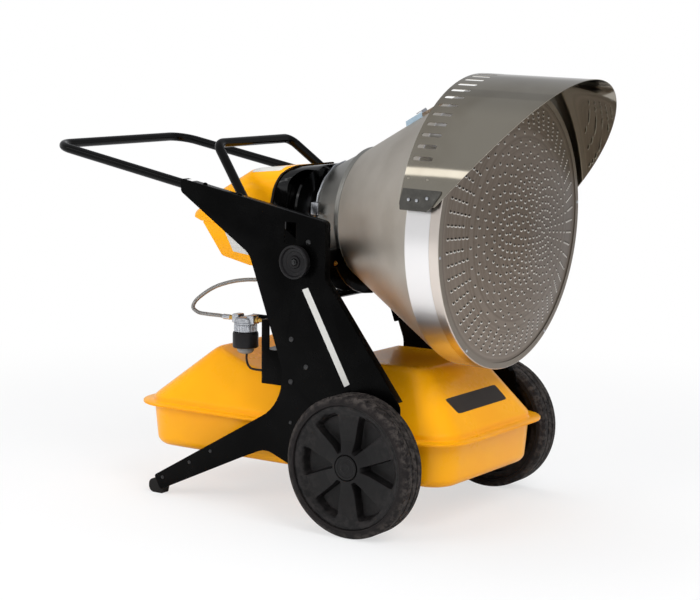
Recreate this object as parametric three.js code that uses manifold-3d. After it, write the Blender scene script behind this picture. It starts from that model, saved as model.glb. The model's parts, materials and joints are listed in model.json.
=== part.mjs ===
// A portable infrared oil heater on two wheels.
// A perforated steel disc at the mouth of a wide cone glows and radiates forwards. The cone, the burner
// behind it and its hood form one head, which tilts between two folded side plates over the fuel tank.
// Millimetres, +Z up, +X the way the heat goes, +Y the heater's left side. Each piece is one closed solid.
import * as THREE from 'three';
import { mergeVertices } from 'three/addons/utils/BufferGeometryUtils.js';
import Module from 'manifold-3d';

const wasm = await Module();
wasm.setup();

// Fits and cuts
const seatGap = 0.3;
const runningGap = 0.5;
const cutOverrun = 6;

// Facets: how many straight steps stand for a full turn or a fillet
const wheelFacets = 26;
const coneFacets = 32;
const tubeFacets = 10;
const smallFacets = 12;
const knobFacets = 18;
const hexSides = 6;
const filletSteps = 3;

// Wheels
const tyreClearance = 11.3;
const wheelDiameter = 318;
const tyreWidth = 72;
const tyreDepth = 21;
const tyreShoulder = 8;
const treadGrooveWidth = 5;
const treadGrooveDepth = 3;
const treadGroovePitch = 19;
const rimWidth = 62;
const rimLip = 15;
const rimFaceInset = 5;
const rimFaceThickness = 30;
const windowCount = 6;
const windowFloor = 5;
const windowInnerRadius = 44;
const windowInnerHalfWidth = 5;
const windowRimMargin = 6;
const windowHalfAngle = 16;
const hubRadius = 31;
const hubCapRadius = 26;
const hubCapThickness = 4;
const hubCapDome = 2;
const axleDiameter = 20;
const axleFlangeRadius = 24;
const axleBoltDiameter = 14;
const axleNutRadius = 13;
const axleNutHeight = 9;

// Side plates, folded from sheet steel
const plateSpacing = 517.4;
const plateThickness = 3;
const plateFlange = 18;
const pivotSetback = 182;
const pivotHeight = 591;
const pivotHoleDiameter = 15;
const plateAheadOfPivot = 69;
const plateAbovePivot = 92;
const plateBelowPivot = 35;
const plateTipSetback = 520;
const plateTopSlopeShare = 0.19;
const plateTipDepth = 31;
const plateNeckSetback = 322;
const plateNeckHeight = 598;
const plateWaistSetback = 229;
const plateWaistHeight = 345;
const plateHipReach = 88;
const plateHipHeight = 292;
const plateKeelHeight = 72;
const plateArchSetback = 275;
const plateArchHeight = 152;
const legRootSetback = 345;
const legRootHeight = 122;
const legSlopeDegrees = 29.8;
const toeSetback = 606;
const toeHeight = 44;
const heelSetback = 587;
const heelHeight = 11;
const frontFlangeEnd = 300;
const rearFlangeEnd = 390;
const cornerRadius = 12;
const hipRadius = 26;
const waistRadius = 110;
const neckRadius = 45;
const backRadius = 60;
const archRadius = 55;
const windowSlotWidth = 32;
const windowSlotHeight = 50;
const windowSlotSetback = 26;
const windowSlotRise = 36;

// Rubber foot caps
const footCapWidth = 24;
const footCapReach = 42;
const footCapMargin = 20;
const footCapHeight = 34;
const footCapRadius = 15;
const footCapTopShare = 1.2;

// Tubes
const handleTubeDiameter = 22;
const handleReach = 924;
const handleArmFoot = 300;
const handleBendRadius = 52;
const hoopTubeDiameter = 22;
const hoopSetback = 501;
const hoopHeight = 836;
const hoopHalfWidth = 146;
const hoopBendRadius = 34;
const hoopFootSetback = 296;
const hoopFootRise = 49;
const hoopFootLength = 48;
const crossTubeDiameter = 22;
const crossTubeSetback = 262;
const crossTubeRise = 41.4;
const bendSteps = 3;

// Fuel tank: two pressed halves that meet at a flanged seam
const seamHeight = 210;
const tankSheet = 2;
const tankRear = 678;
const tankFront = 178;
const tankHalfWidth = 215.5;
const tankFlange = 28;
const tankCornerRadius = 76;
const tankStepHeight = 14;
const tankCrestHeight = 354;
const crestRear = 516;
const crestFront = 72;
const crestHalfWidth = 132;
const crestCornerRadius = 32;
const crestSoftness = 26;
const valleyHeight = 300;
const valleyRear = 250;
const valleyWallRear = 212;
const valleyWallFront = 158;
const tankBottomHeight = 104;
const panDraft = 7;
const panBottomRadius = 24;
const slopeShares = [0, 0.5, 0.8, 1, 1.25];
const tankStations = 9;

// Bars under the tank
const barWidth = 38;
const barHeight = 22;
const barSheet = 3;
const rearBarSetback = 470;
const frontBarSetback = 40;

// Filler and level gauge on the tank
const fillerSetback = 290;
const fillerOffset = 92;
const fillerNeckRadius = 26;
const fillerNeckHeight = 22;
const fillerNeckWall = 2.5;
const fillerCapRadius = 34;
const fillerCapHeight = 24;
const fillerCapEdge = 3;
const gaugeOffset = -6;
const gaugeRadius = 21;
const gaugeHeight = 18;
const gaugeLensHeight = 3;

// Fuel filter on its bracket
const filterOffset = 225;
const filterSetback = 357;
const filterBowlRadius = 30;
const filterBowlBottom = 375;
const filterBowlHeight = 37;
const filterBowlWall = 2.5;
const filterPlugRadius = 20;
const filterPlugHeight = 15;
const filterRingRadius = 27;
const filterRingHeight = 18;
const filterRingTeeth = 9;
const filterRingToothDepth = 2;
const filterHeadHeight = 22;
const filterHeadLength = 62;
const filterHeadWidth = 24;
const filterHeadRadius = 25;
const filterHeadRoundShare = 0.75;
const fittingRadius = 8;
const fittingLength = 12;
const fittingNeckRadius = 5;
const bracketSheet = 4;
const bracketBoxRear = 289;
const bracketBoxLength = 37;
const bracketBoxTop = 382;
const bracketBoxHeight = 79;
const bracketPostWidth = 21;
const bracketTabLength = 46;
const bracketArmHeight = 18;
const supplyPipeDiameter = 8;
const supplyPipeBend = 22;
const supplyPipeOffset = 140;
const supplyPipeSetback = 262;

// Head axis and reflector. Lengths along the head run from the tilt axis, forwards
const headTilt = 1.76;
const headAxisRise = 90;
const discReach = 391;
const reflectorRadius = 315;
const reflectorSheet = 1.5;
const frontRingDepth = 23;
const frontRingLip = 15;
const frontBandDepth = 59;
const stepBandRadius = 155;
const stepBandWidth = 12;
const stepBandReach = 17;
const stepBandLip = 7;
const collarRearReach = 58;
const collarFrontRadius = 150;
const collarRearRadius = 112;

// Radiation disc
const discSheet = 2;
const discRimWidth = 25;
const discKneeRadius = 223;
const discKneeRise = 18;
const discCrestRise = 53;
const holeRadius = 3.4;
const holeSides = 5;
const outerRows = 20;
const outerHolesPerRow = 3;
const outerRowMargin = 12;
const outerHolePitch = 21;
const innerRings = 3;
const innerHolesStep = 6;
const innerRingPitch = 58;

// Combustion liner, burner flange and tube
const linerRadius = 96;
const linerSheet = 1.5;
const linerLength = 290;
const burnerFlangeRadius = 117;
const burnerFlangeThickness = 4;
const flangeEarReach = 15;
const flangeEarOffset = 131;
const flangeEarHeight = 28;
const blastTubeRadius = 52;
const blastTubeSheet = 2;
const blastTubeNose = 26;
const nozzleRadius = 9;
const nozzleLength = 92;
const nozzlePlateRadius = 38;
const nozzleSheet = 3;

// Polished hood, with a row of slots along its rear edge and a clip at each lower corner
const visorGap = 11;
const visorSheet = 1.2;
const visorHalfAngle = 76;
const visorRearReach = 291;
const visorTopOverhang = 160;
const visorFall = 166;
const visorSteps = 24;
const slotCount = 25;
const slotPitch = 28.5;
const slotLength = 48;
const slotWidth = 9;
const slotMargin = 12;
const clipSheet = 1.5;
const clipLap = 34;
const clipMargin = 6;
const clipLength = 76;
const clipSteps = 4;

// Small folded lug on the cone
const lugReach = 214;
const lugTurn = 17;
const lugLength = 30;
const lugWidth = 20;
const lugHeight = 14;
const lugSheet = 2;

// Cradle: a channel under the collar, with an arm and an ear on each side
const cradleSheet = 5;
const cradleDepth = 31;
const cradleWidth = 63;
const cradleReach = 28;
const cradleArmHeight = 40;
const earRadius = 31;
const earThickness = 5;
const studDiameter = 14;
const studHeadRadius = 11;
const studHeadHeight = 7;

// Tilt knobs
const knobRadius = 38;
const knobDepth = 26;
const knobDish = 9;
const knobRimWidth = 8;
const knobCentreRadius = 12;
const knobNeckRadius = 18;
const knobNeckDepth = 5;
const knobEdge = 3;

// Burner housing: an orange cover and control box over a black casing
const housingHalfWidth = 120;
const housingTopRadius = 56;
const housingSheet = 2;
const housingRoundShare = 0.6;
const housingSplit = 44;
const housingTail = 418;
const housingTailLow = 50;
const housingTailTop = 66;
const housingTailHalfWidth = 108;
const housingShoulder = 351;
const housingShoulderTop = 125;
const housingBreak = 268;
const housingBreakTop = 177;
const housingFront = 79;
const housingFrontTop = 201;
const coverFrontTop = 128;
const coverFrontSide = 182;
const coverFrontLow = 104;
const coverEdgeShares = [[0, 0], [0.26, 0.39], [0.72, 0.67], [1, 1]];
const casingFront = 66;
const casingRear = 204;
const casingSideFront = 140;
const casingSideTop = 188;
const casingCornerRadius = 42;
const boxHalfWidth = 118;
const boxTail = 387;
const boxHeel = 325;
const boxHeelDrop = 33;
const boxSole = 243;
const boxSoleDrop = 48;
const boxFront = 90;
const boxLipHeight = 12;
const deckSheet = 3;
const deckRear = 340;
const deckFront = 95;
const bulkheadReach = 156;

// Blower, motor, pump and igniter inside the housing
const blowerRadius = 88;
const blowerDepth = 52;
const blowerSheet = 2;
const blowerEye = 36;
const fanRadius = 76;
const fanDepth = 36;
const fanInset = 5;
const fanPlate = 3;
const fanHubRadius = 16;
const fanBladeThickness = 2.5;
const fanBladeWidth = 22;
const fanBladeTurn = 32;
const fanBlades = 10;
const shaftRadius = 6;
const motorGap = 10;
const motorRadius = 45;
const motorLength = 80;
const motorFootWidth = 60;
const couplingRoom = 20;
const couplingRadius = 12;
const pumpLength = 26;
const pumpWidth = 60;
const pumpHeight = 56;
const pumpFootWidth = 30;
const igniterLength = 88;
const igniterWidth = 66;
const igniterHeight = 38;

// Controls on the left side of the control box
const panelSetback = 300;
const panelRise = 23;
const panelLength = 96;
const panelHeight = 34;
const panelThickness = 3;
const panelCornerRadius = 5;
const rockerShare = -0.36;
const rockerWidth = 15;
const rockerHeight = 23;
const rockerDepth = 10;
const rockerRoom = 2;
const rockerTilt = 7;
const rockerDish = 1.5;
const lampShare = -0.18;
const lampRadius = 4;
const lampTipShare = 0.6;
const lampDepth = 12;
const dialShare = 0.03;
const dialRadius = 13;
const dialDepth = 13;
const dialStemRadius = 4;
const dialStemLength = 9;
const dialPointerWidth = 3;
const inletShare = 0.33;
const inletLength = 27;
const inletHeight = 21;
const inletDepth = 16;
const inletWall = 2.5;
const inletPinWidth = 2;
const inletPinHeight = 5;
const inletPinPitch = 7;

// Braided fuel hose from the filter to the burner, through points chosen by hand
const hoseDiameter = 9;
const hoseSides = 8;
const hoseSteps = 25;
const hoseFittingReach = 118;
const hoseFittingDrop = 14;
const hoseFittingLength = 18;
const hoseRoute = [
  [-400.6, -225, 441.6], [-416, -225, 441.6], [-437, -219, 441.5], [-484.7, -208, 439.5], [-518, -200, 440.5],
  [-531.5, -200, 450], [-526, -200, 463.5], [-504, -200, 482], [-464, -200, 505], [-411, -200, 522],
  [-370, -200, 529], [-344, -199, 531.5], [-326, -193, 538], [-311, -178, 555], [-302, -160, 574],
  [-300.4, -146, 580.6], [-300.4, -136.3, 580.6],
];

// Materials, in the colours of the real finishes
const paint = (color, roughness, metalness) => new THREE.MeshStandardMaterial({ color, roughness, metalness });
const orangePaint = paint(0xf9a81b, 0.3, 0);
const blackCoat = paint(0x151515, 0.42, 0);
const blackPlastic = paint(0x262423, 0.6, 0);
const rubber = paint(0x2d2c2b, 0.85, 0);
const satinSteel = paint(0xa8a196, 0.4, 0.9);
const polishedSteel = paint(0xc9c8c3, 0.12, 1);
const heatedSteel = paint(0x7d766c, 0.45, 0.9);
const zinc = paint(0xb9bcbe, 0.35, 0.9);
const brass = paint(0xc9a24a, 0.3, 0.95);
const greyPlastic = paint(0x8d8d8b, 0.55, 0);
const braid = paint(0x9a9894, 0.45, 0.7);

// Turns a closed three.js geometry into a solid with its faces outwards
function solid(geometry) {
  const bare = new THREE.BufferGeometry();
  bare.setAttribute('position', geometry.getAttribute('position'));
  if (geometry.index) bare.setIndex(geometry.index);
  const merged = mergeVertices(bare, 1e-3);
  const places = merged.getAttribute('position').array;
  const corners = merged.index.array;
  const kept = [];
  let volume = 0;
  const a = new THREE.Vector3();
  const b = new THREE.Vector3();
  const c = new THREE.Vector3();
  for (let i = 0; i < corners.length; i += 3) {
    const [p, q, r] = [corners[i], corners[i + 1], corners[i + 2]];
    if (p === q || q === r || r === p) continue;
    kept.push(p, q, r);
    a.fromArray(places, 3 * p);
    b.fromArray(places, 3 * q);
    c.fromArray(places, 3 * r);
    volume += a.dot(b.cross(c));
  }
  const order = volume < 0 ? kept.reverse() : kept;
  const mesh = { numProp: 3, vertProperties: new Float32Array(places), triVerts: new Uint32Array(order) };
  return new wasm.Manifold(new wasm.Mesh(mesh));
}

// Turns a solid back into a three.js geometry
function geometryOf(body) {
  const mesh = body.getMesh();
  const geometry = new THREE.BufferGeometry();
  geometry.setAttribute('position', new THREE.BufferAttribute(new Float32Array(mesh.vertProperties), 3));
  geometry.setIndex(new THREE.BufferAttribute(new Uint32Array(mesh.triVerts), 1));
  geometry.computeVertexNormals();
  return geometry;
}

function cut(body, ...tools) {
  return tools.reduce((left, tool) => left.subtract(tool), body);
}

function join(...bodies) {
  return bodies.reduce((whole, body) => whole.add(body));
}

function block(xLow, xHigh, yLow, yHigh, zLow, zHigh) {
  const box = new THREE.BoxGeometry(xHigh - xLow, yHigh - yLow, zHigh - zLow);
  box.translate((xLow + xHigh) / 2, (yLow + yHigh) / 2, (zLow + zHigh) / 2);
  return solid(box);
}

// A closed profile of [radius, place] points turned about the X, Y or Z axis
function revolve(axis, profile, facets, rise = 0, centre = [0, 0, 0]) {
  const loop = [...profile, profile[0]].map(([radius, place]) => new THREE.Vector2(radius, place));
  const shape = new THREE.LatheGeometry(loop, facets);
  if (axis === 'x') shape.rotateZ(-Math.PI / 2);
  if (axis === 'z') shape.rotateX(Math.PI / 2);
  shape.translate(centre[0], centre[1], centre[2] + rise);
  return solid(shape);
}

// A plain round bar along an axis, from one place to another
function bar(axis, radius, low, high, facets, centre = [0, 0, 0]) {
  return revolve(axis, [[0, low], [radius, low], [radius, high], [0, high]], facets, 0, centre);
}

// A rounded outline: each corner is [x, z, fillet radius]
function outline(corners, steps = filletSteps) {
  const points = [];
  const count = corners.length;
  corners.forEach(([x, z, radius], i) => {
    const corner = new THREE.Vector2(x, z);
    const before = new THREE.Vector2(...corners[(i + count - 1) % count]).sub(corner).normalize();
    const after = new THREE.Vector2(...corners[(i + 1) % count]).sub(corner).normalize();
    const half = Math.acos(THREE.MathUtils.clamp(before.dot(after), -1, 1)) / 2;
    if (!radius) {
      points.push(corner);
      return;
    }
    const run = radius / Math.tan(half);
    const start = corner.clone().addScaledVector(before, run);
    const end = corner.clone().addScaledVector(after, run);
    const centre = corner.clone().addScaledVector(before.clone().add(after).normalize(), radius / Math.sin(half));
    const first = Math.atan2(start.y - centre.y, start.x - centre.x);
    let sweep = Math.atan2(end.y - centre.y, end.x - centre.x) - first;
    if (sweep > Math.PI) sweep -= 2 * Math.PI;
    if (sweep < -Math.PI) sweep += 2 * Math.PI;
    for (let k = 0; k <= steps; k += 1) {
      const angle = first + (sweep * k) / steps;
      points.push(new THREE.Vector2(centre.x + radius * Math.cos(angle), centre.y + radius * Math.sin(angle)));
    }
  });
  return points;
}

// The same outline moved inwards by a distance
function inset(points, distance) {
  const count = points.length;
  const turn = Math.sign(THREE.ShapeUtils.area(points));
  return points.map((point, i) => {
    const before = point.clone().sub(points[(i + count - 1) % count]).normalize();
    const after = points[(i + 1) % count].clone().sub(point).normalize();
    const normal = new THREE.Vector2(-(before.y + after.y), before.x + after.x).normalize().multiplyScalar(turn);
    const stretch = Math.max(Math.sqrt((1 + before.dot(after)) / 2), 0.5);
    return point.clone().addScaledVector(normal, distance / stretch);
  });
}

// An outline in the XZ plane, extruded from one Y to another
function plate(points, yLow, yHigh) {
  const shape = new THREE.ExtrudeGeometry(new THREE.Shape(points), { depth: yHigh - yLow, bevelEnabled: false });
  shape.rotateX(Math.PI / 2);
  shape.translate(0, yHigh, 0);
  return solid(shape);
}

// A skin through rings of equal point counts, closed at both ends by strips from side to side
function loft(rings) {
  const places = rings.flat().flatMap((point) => [point.x, point.y, point.z]);
  const size = rings[0].length;
  const faces = [];
  for (let i = 0; i + 1 < rings.length; i += 1) {
    for (let j = 0; j < size; j += 1) {
      const next = (j + 1) % size;
      const [a, b, c, d] = [i * size + j, i * size + next, (i + 1) * size + next, (i + 1) * size + j];
      faces.push(a, b, c, a, c, d);
    }
  }
  const last = (rings.length - 1) * size;
  for (let j = 0; j + 1 < size / 2; j += 1) {
    const [a, b, c, d] = [j, j + 1, size - 2 - j, size - 1 - j];
    faces.push(a, c, b, a, d, c, last + a, last + b, last + c, last + a, last + c, last + d);
  }
  const shape = new THREE.BufferGeometry();
  shape.setAttribute('position', new THREE.Float32BufferAttribute(places, 3));
  shape.setIndex(faces);
  return solid(shape);
}

// A round bar swept along straight runs with rounded bends
function bentTube(corners, bendRadius, diameter) {
  const points = [corners[0].clone()];
  for (let i = 1; i + 1 < corners.length; i += 1) {
    const back = corners[i - 1].clone().sub(corners[i]).normalize();
    const ahead = corners[i + 1].clone().sub(corners[i]).normalize();
    const half = back.angleTo(ahead) / 2;
    const run = bendRadius / Math.tan(half);
    const centre = corners[i].clone().addScaledVector(back.clone().add(ahead).normalize(), bendRadius / Math.sin(half));
    const start = corners[i].clone().addScaledVector(back, run).sub(centre);
    const end = corners[i].clone().addScaledVector(ahead, run).sub(centre);
    const axis = start.clone().cross(end).normalize();
    const sweep = start.angleTo(end);
    for (let k = 0; k <= bendSteps; k += 1) {
      points.push(start.clone().applyAxisAngle(axis, (sweep * k) / bendSteps).add(centre));
    }
  }
  points.push(corners[corners.length - 1].clone());
  return sweep(points, diameter / 2, tubeFacets);
}

// Rings square to a path of points, skinned into a closed bar
function sweep(points, radius, sides) {
  const rings = [];
  let side = null;
  points.forEach((point, i) => {
    const before = points[Math.max(i - 1, 0)];
    const after = points[Math.min(i + 1, points.length - 1)];
    const arriving = point.clone().sub(before).normalize();
    const leaving = after.clone().sub(point).normalize();
    const along = arriving.clone().add(leaving).normalize();
    if (!side) side = Math.abs(along.z) < Math.SQRT1_2 ? new THREE.Vector3(0, 0, 1) : new THREE.Vector3(0, 1, 0);
    side.addScaledVector(along, -side.dot(along)).normalize();
    const other = along.clone().cross(side);
    const ring = [];
    for (let k = 0; k < sides; k += 1) {
      const angle = (2 * Math.PI * (k + 1 / 2)) / sides;
      const offset = side.clone().multiplyScalar(radius * Math.cos(angle));
      ring.push(point.clone().add(offset.addScaledVector(other, radius * Math.sin(angle))));
    }
    rings.push(ring);
  });
  return loft(rings);
}

const heater = new THREE.Group();

// Adds one named piece to a group
function addPiece(parent, name, body, material) {
  const mesh = new THREE.Mesh(geometryOf(body), material);
  mesh.name = name;
  parent.add(mesh);
  return mesh;
}

const sides = [['right', -1], ['left', 1]];
const wheelRadius = wheelDiameter / 2;
const rimRadius = wheelRadius - tyreDepth;
const plateOuter = plateSpacing / 2;
const plateInner = plateOuter - plateThickness;
const wheelMiddle = plateOuter + tyreClearance + tyreWidth / 2;
const ringBottom = filterBowlBottom + filterBowlHeight + seatGap;
const filterHeadBottom = ringBottom + filterRingHeight + seatGap;
const portHeight = filterHeadBottom + filterHeadHeight / 2;
const crossTubeHeight = portHeight + crossTubeRise;
const hoopFootHeight = pivotHeight + hoopFootRise;

// Turns a body made for the heater's left side to the right side
function sideways(body, side) {
  return side > 0 ? body : body.mirror([0, 1, 0]);
}

// Wheels: solid tyre, moulded rim with six windows, snap-in cap, stub axle

// The tyre's section carries a shoulder on each side and two grooves round the tread
function makeTyre() {
  const half = tyreWidth / 2;
  const bead = rimRadius + seatGap;
  const groove = (place) => [
    [wheelRadius, place - treadGrooveWidth / 2], [wheelRadius - treadGrooveDepth, place],
    [wheelRadius, place + treadGrooveWidth / 2],
  ];
  const profile = [
    [bead, -half], [wheelRadius - tyreShoulder, -half], [wheelRadius, -half + tyreShoulder],
    ...groove(-treadGroovePitch / 2), ...groove(treadGroovePitch / 2), [wheelRadius, half - tyreShoulder],
    [wheelRadius - tyreShoulder, half], [bead, half],
  ];
  return revolve('y', profile, wheelFacets, wheelRadius, [0, wheelMiddle, 0]);
}

function makeRim() {
  const half = rimWidth / 2;
  const face = half - rimFaceInset;
  const floor = face - rimFaceThickness;
  const drum = rimRadius - rimLip;
  const bore = axleDiameter / 2 + runningGap;
  const profile = [
    [bore, -half], [hubRadius, -half], [hubRadius, floor], [drum, floor], [drum, -half],
    [rimRadius, -half], [rimRadius, half], [drum + rimLip / 2, half], [drum, face], [hubRadius, face],
    [hubCapRadius, half], [hubCapRadius, half + hubCapDome], [0, half + hubCapDome],
    [0, half - hubCapThickness], [bore, half - hubCapThickness],
  ];
  const rim = revolve('y', profile, wheelFacets);
  const outerRadius = drum - windowRimMargin;
  const reach = THREE.MathUtils.degToRad(windowHalfAngle);
  const corners = [[windowInnerRadius, -windowInnerHalfWidth]];
  for (const share of [-1, 0, 1]) {
    corners.push([outerRadius * Math.cos(share * reach), outerRadius * Math.sin(share * reach)]);
  }
  corners.push([windowInnerRadius, windowInnerHalfWidth]);
  const wedge = corners.map(([x, z]) => new THREE.Vector2(x, z));
  const pocket = plate(wedge, floor + windowFloor, face + cutOverrun);
  const pockets = [];
  for (let k = 0; k < windowCount; k += 1) pockets.push(pocket.rotate([0, (360 * (k + 1 / 2)) / windowCount, 0]));
  return cut(rim, ...pockets).translate([0, wheelMiddle, wheelRadius]);
}

function makeAxle() {
  const flange = wheelMiddle - rimWidth / 2 - runningGap;
  const nut = plateInner - seatGap;
  const end = wheelMiddle + rimWidth / 2 - hubCapThickness - seatGap;
  const bolt = axleBoltDiameter / 2;
  const profile = [
    [0, nut - axleNutHeight - seatGap], [bolt, nut - axleNutHeight - seatGap], [bolt, nut - axleNutHeight],
    [axleNutRadius, nut - axleNutHeight], [axleNutRadius, nut], [bolt, nut], [bolt, plateOuter + seatGap],
    [axleFlangeRadius, plateOuter + seatGap], [axleFlangeRadius, flange], [axleDiameter / 2, flange],
    [axleDiameter / 2, end], [0, end],
  ];
  return revolve('y', profile, smallFacets, wheelRadius);
}

for (const [name, side] of sides) {
  addPiece(heater, `tyre_${name}`, sideways(makeTyre(), side), rubber);
  addPiece(heater, `wheel_rim_${name}`, sideways(makeRim(), side), blackPlastic);
  addPiece(heater, `stub_axle_${name}`, sideways(makeAxle(), side), zinc);
}

// Side plates: one folded sheet each, with the leg, the head support and the handle arm in one outline

// Height of the plate's sloping top edge at a place behind the axle
function plateTopAt(x) {
  const front = plateAheadOfPivot - pivotSetback;
  return pivotHeight + plateAbovePivot + plateTopSlopeShare * (front - x);
}

function plateOutline() {
  const front = plateAheadOfPivot - pivotSetback;
  const tipTop = plateTopAt(-plateTipSetback);
  const waist = toeHeight + (toeSetback - plateWaistSetback) * Math.tan(THREE.MathUtils.degToRad(legSlopeDegrees));
  return outline([
    [-plateTipSetback, tipTop, cornerRadius / 2],
    [front, plateTopAt(front), cornerRadius],
    [front, pivotHeight - plateBelowPivot, cornerRadius],
    [plateHipReach, plateHipHeight, hipRadius],
    [plateHipReach, plateKeelHeight, hipRadius],
    [-frontBarSetback - barWidth, plateKeelHeight, backRadius],
    [-plateArchSetback, plateArchHeight, archRadius],
    [-legRootSetback, legRootHeight, archRadius / 2],
    [-heelSetback, heelHeight, cornerRadius / 2],
    [-toeSetback, toeHeight, cornerRadius / 2],
    [-plateWaistSetback, waist, waistRadius],
    [-plateWaistSetback, plateWaistHeight, backRadius],
    [-plateNeckSetback, plateNeckHeight, neckRadius],
    [-plateTipSetback, tipTop - plateTipDepth, cornerRadius],
  ]);
}

// A flange folded inwards follows the edges of the head support and the handle arm
function makeSidePlate() {
  const points = plateOutline();
  const tray = plate(points, plateInner - plateFlange, plateOuter);
  const hollow = plate(inset(points, plateThickness), plateInner - plateFlange - cutOverrun, plateInner);
  const low = block(-toeSetback - footCapReach, plateHipReach + cutOverrun, plateInner - plateFlange - cutOverrun,
    plateInner, -cutOverrun, frontFlangeEnd);
  const back = block(-toeSetback - footCapReach, -plateWaistSetback + backRadius,
    plateInner - plateFlange - cutOverrun, plateInner, -cutOverrun, rearFlangeEnd);
  const tip = block(-plateTipSetback - cutOverrun, -plateTipSetback + plateTipDepth,
    plateInner - plateFlange - cutOverrun, plateInner, plateNeckHeight, plateTopAt(-plateTipSetback) - plateThickness);
  const slot = outline([
    [-pivotSetback - windowSlotSetback - windowSlotWidth / 2, pivotHeight + windowSlotRise, cornerRadius / 2],
    [-pivotSetback - windowSlotSetback + windowSlotWidth / 2, pivotHeight + windowSlotRise, cornerRadius / 2],
    [-pivotSetback - windowSlotSetback + windowSlotWidth / 2, pivotHeight + windowSlotRise + windowSlotHeight, 0],
    [-pivotSetback - windowSlotSetback - windowSlotWidth / 2, pivotHeight + windowSlotRise + windowSlotHeight, 0],
  ]);
  return cut(tray, hollow, low, back, tip,
    plate(slot, plateInner - cutOverrun, plateOuter + cutOverrun),
    bar('y', pivotHoleDiameter / 2, plateInner - cutOverrun, plateOuter + cutOverrun, smallFacets,
      [-pivotSetback, 0, pivotHeight]),
    bar('y', axleBoltDiameter / 2 + seatGap, plateInner - cutOverrun, plateOuter + cutOverrun, smallFacets,
      [0, 0, wheelRadius]));
}

// Rubber foot bolted inside the leg's end, round behind, with a flat sole
function makeFootCap() {
  const tail = -toeSetback - footCapMargin;
  const top = footCapHeight;
  const outer = plateInner - seatGap;
  return plate(outline([
    [tail, 0, footCapRadius], [tail + footCapReach, 0, footCapRadius / 3],
    [tail + footCapReach * footCapTopShare, top, footCapRadius / 3], [tail, top, footCapRadius],
  ]), outer - footCapWidth, outer);
}

for (const [name, side] of sides) {
  addPiece(heater, `side_plate_${name}`, sideways(makeSidePlate(), side), blackCoat);
  addPiece(heater, `foot_cap_${name}`, sideways(makeFootCap(), side), rubber);
}

// Tubes bolted between and behind the plates

// The push handle's arms lie under the plates' top flanges and run back to its crossbar
function makePushHandle() {
  const radius = handleTubeDiameter / 2;
  const y = plateInner - radius - seatGap;
  const slope = plateTopSlopeShare;
  const drop = plateThickness * (1 + slope) + (radius + seatGap) * Math.hypot(1, slope);
  const at = (x, side) => new THREE.Vector3(x, side * y, plateTopAt(x) - drop);
  return bentTube([at(-handleArmFoot, -1), at(-handleReach, -1), at(-handleReach, 1), at(-handleArmFoot, 1)],
    handleBendRadius, handleTubeDiameter);
}

// The lifting hoop rises from the plates' inner faces over the burner housing
function makeHoop() {
  const y = plateInner - hoopTubeDiameter / 2 - seatGap;
  const leg = (side) => [
    new THREE.Vector3(-hoopFootSetback + hoopFootLength, side * y, hoopFootHeight - hoopFootLength),
    new THREE.Vector3(-hoopFootSetback, side * y, hoopFootHeight),
    new THREE.Vector3(-hoopSetback, side * hoopHalfWidth, hoopHeight),
  ];
  return bentTube([...leg(-1), ...leg(1).reverse()], hoopBendRadius, hoopTubeDiameter);
}

function makeCrossTube() {
  const end = plateInner - seatGap;
  return bar('y', crossTubeDiameter / 2, -end, end, tubeFacets, [-crossTubeSetback, 0, crossTubeHeight]);
}

// A folded channel under the tank, open downwards
function makeTankBar(setback) {
  const end = plateInner - seatGap;
  const top = tankBottomHeight - seatGap;
  const outer = block(-setback - barWidth / 2, -setback + barWidth / 2, -end, end, top - barHeight, top);
  const inner = block(-setback - barWidth / 2 + barSheet, -setback + barWidth / 2 - barSheet, -end - cutOverrun,
    end + cutOverrun, top - barHeight - cutOverrun, top - barSheet);
  return cut(outer, inner);
}

addPiece(heater, 'push_handle', makePushHandle(), blackCoat);
addPiece(heater, 'lifting_hoop', makeHoop(), blackCoat);
addPiece(heater, 'cross_tube', makeCrossTube(), blackCoat);
addPiece(heater, 'tank_bar_front', makeTankBar(frontBarSetback), blackCoat);
addPiece(heater, 'tank_bar_rear', makeTankBar(rearBarSetback), blackCoat);

// Fuel tank

// One level ring of the tank, a rounded rectangle with stations along its sides
function tankRing(rear, front, halfWidth, radius, heightAt, stations = tankStations) {
  const half = [];
  const corner = (x, first) => {
    for (let k = 0; k <= filletSteps; k += 1) {
      const angle = first - (Math.PI / 2) * (k / filletSteps);
      half.push([x + radius * Math.cos(angle), halfWidth - radius + radius * Math.sin(angle)]);
    }
  };
  corner(rear + radius, Math.PI);
  for (let k = 1; k < stations; k += 1) {
    half.push([THREE.MathUtils.lerp(rear + radius, front - radius, k / stations), halfWidth]);
  }
  corner(front - radius, Math.PI / 2);
  const place = ([x, y], side) => new THREE.Vector3(x, side * y, heightAt(x));
  return [...half.map((point) => place(point, 1)), ...half.map((point) => place(point, -1)).reverse()];
}

// The top runs down from the rear crest into a valley, and climbs a steep wall to the front crest
function tankTopAt(x) {
  if (x > -valleyWallRear) {
    const share = THREE.MathUtils.smoothstep(x, -valleyWallRear, -valleyWallFront);
    return THREE.MathUtils.lerp(valleyHeight, tankCrestHeight, share);
  }
  const run = THREE.MathUtils.clamp((x + crestRear) / (crestRear - valleyRear), 0, 1);
  return valleyHeight + (tankCrestHeight - valleyHeight) * (1 - run) ** 2;
}

// The lower of two heights, rounded over where they meet
function softLower(a, b) {
  const blend = Math.max(crestSoftness - Math.abs(a - b), 0) / crestSoftness;
  return Math.min(a, b) - (blend * blend * crestSoftness) / 4;
}

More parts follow.
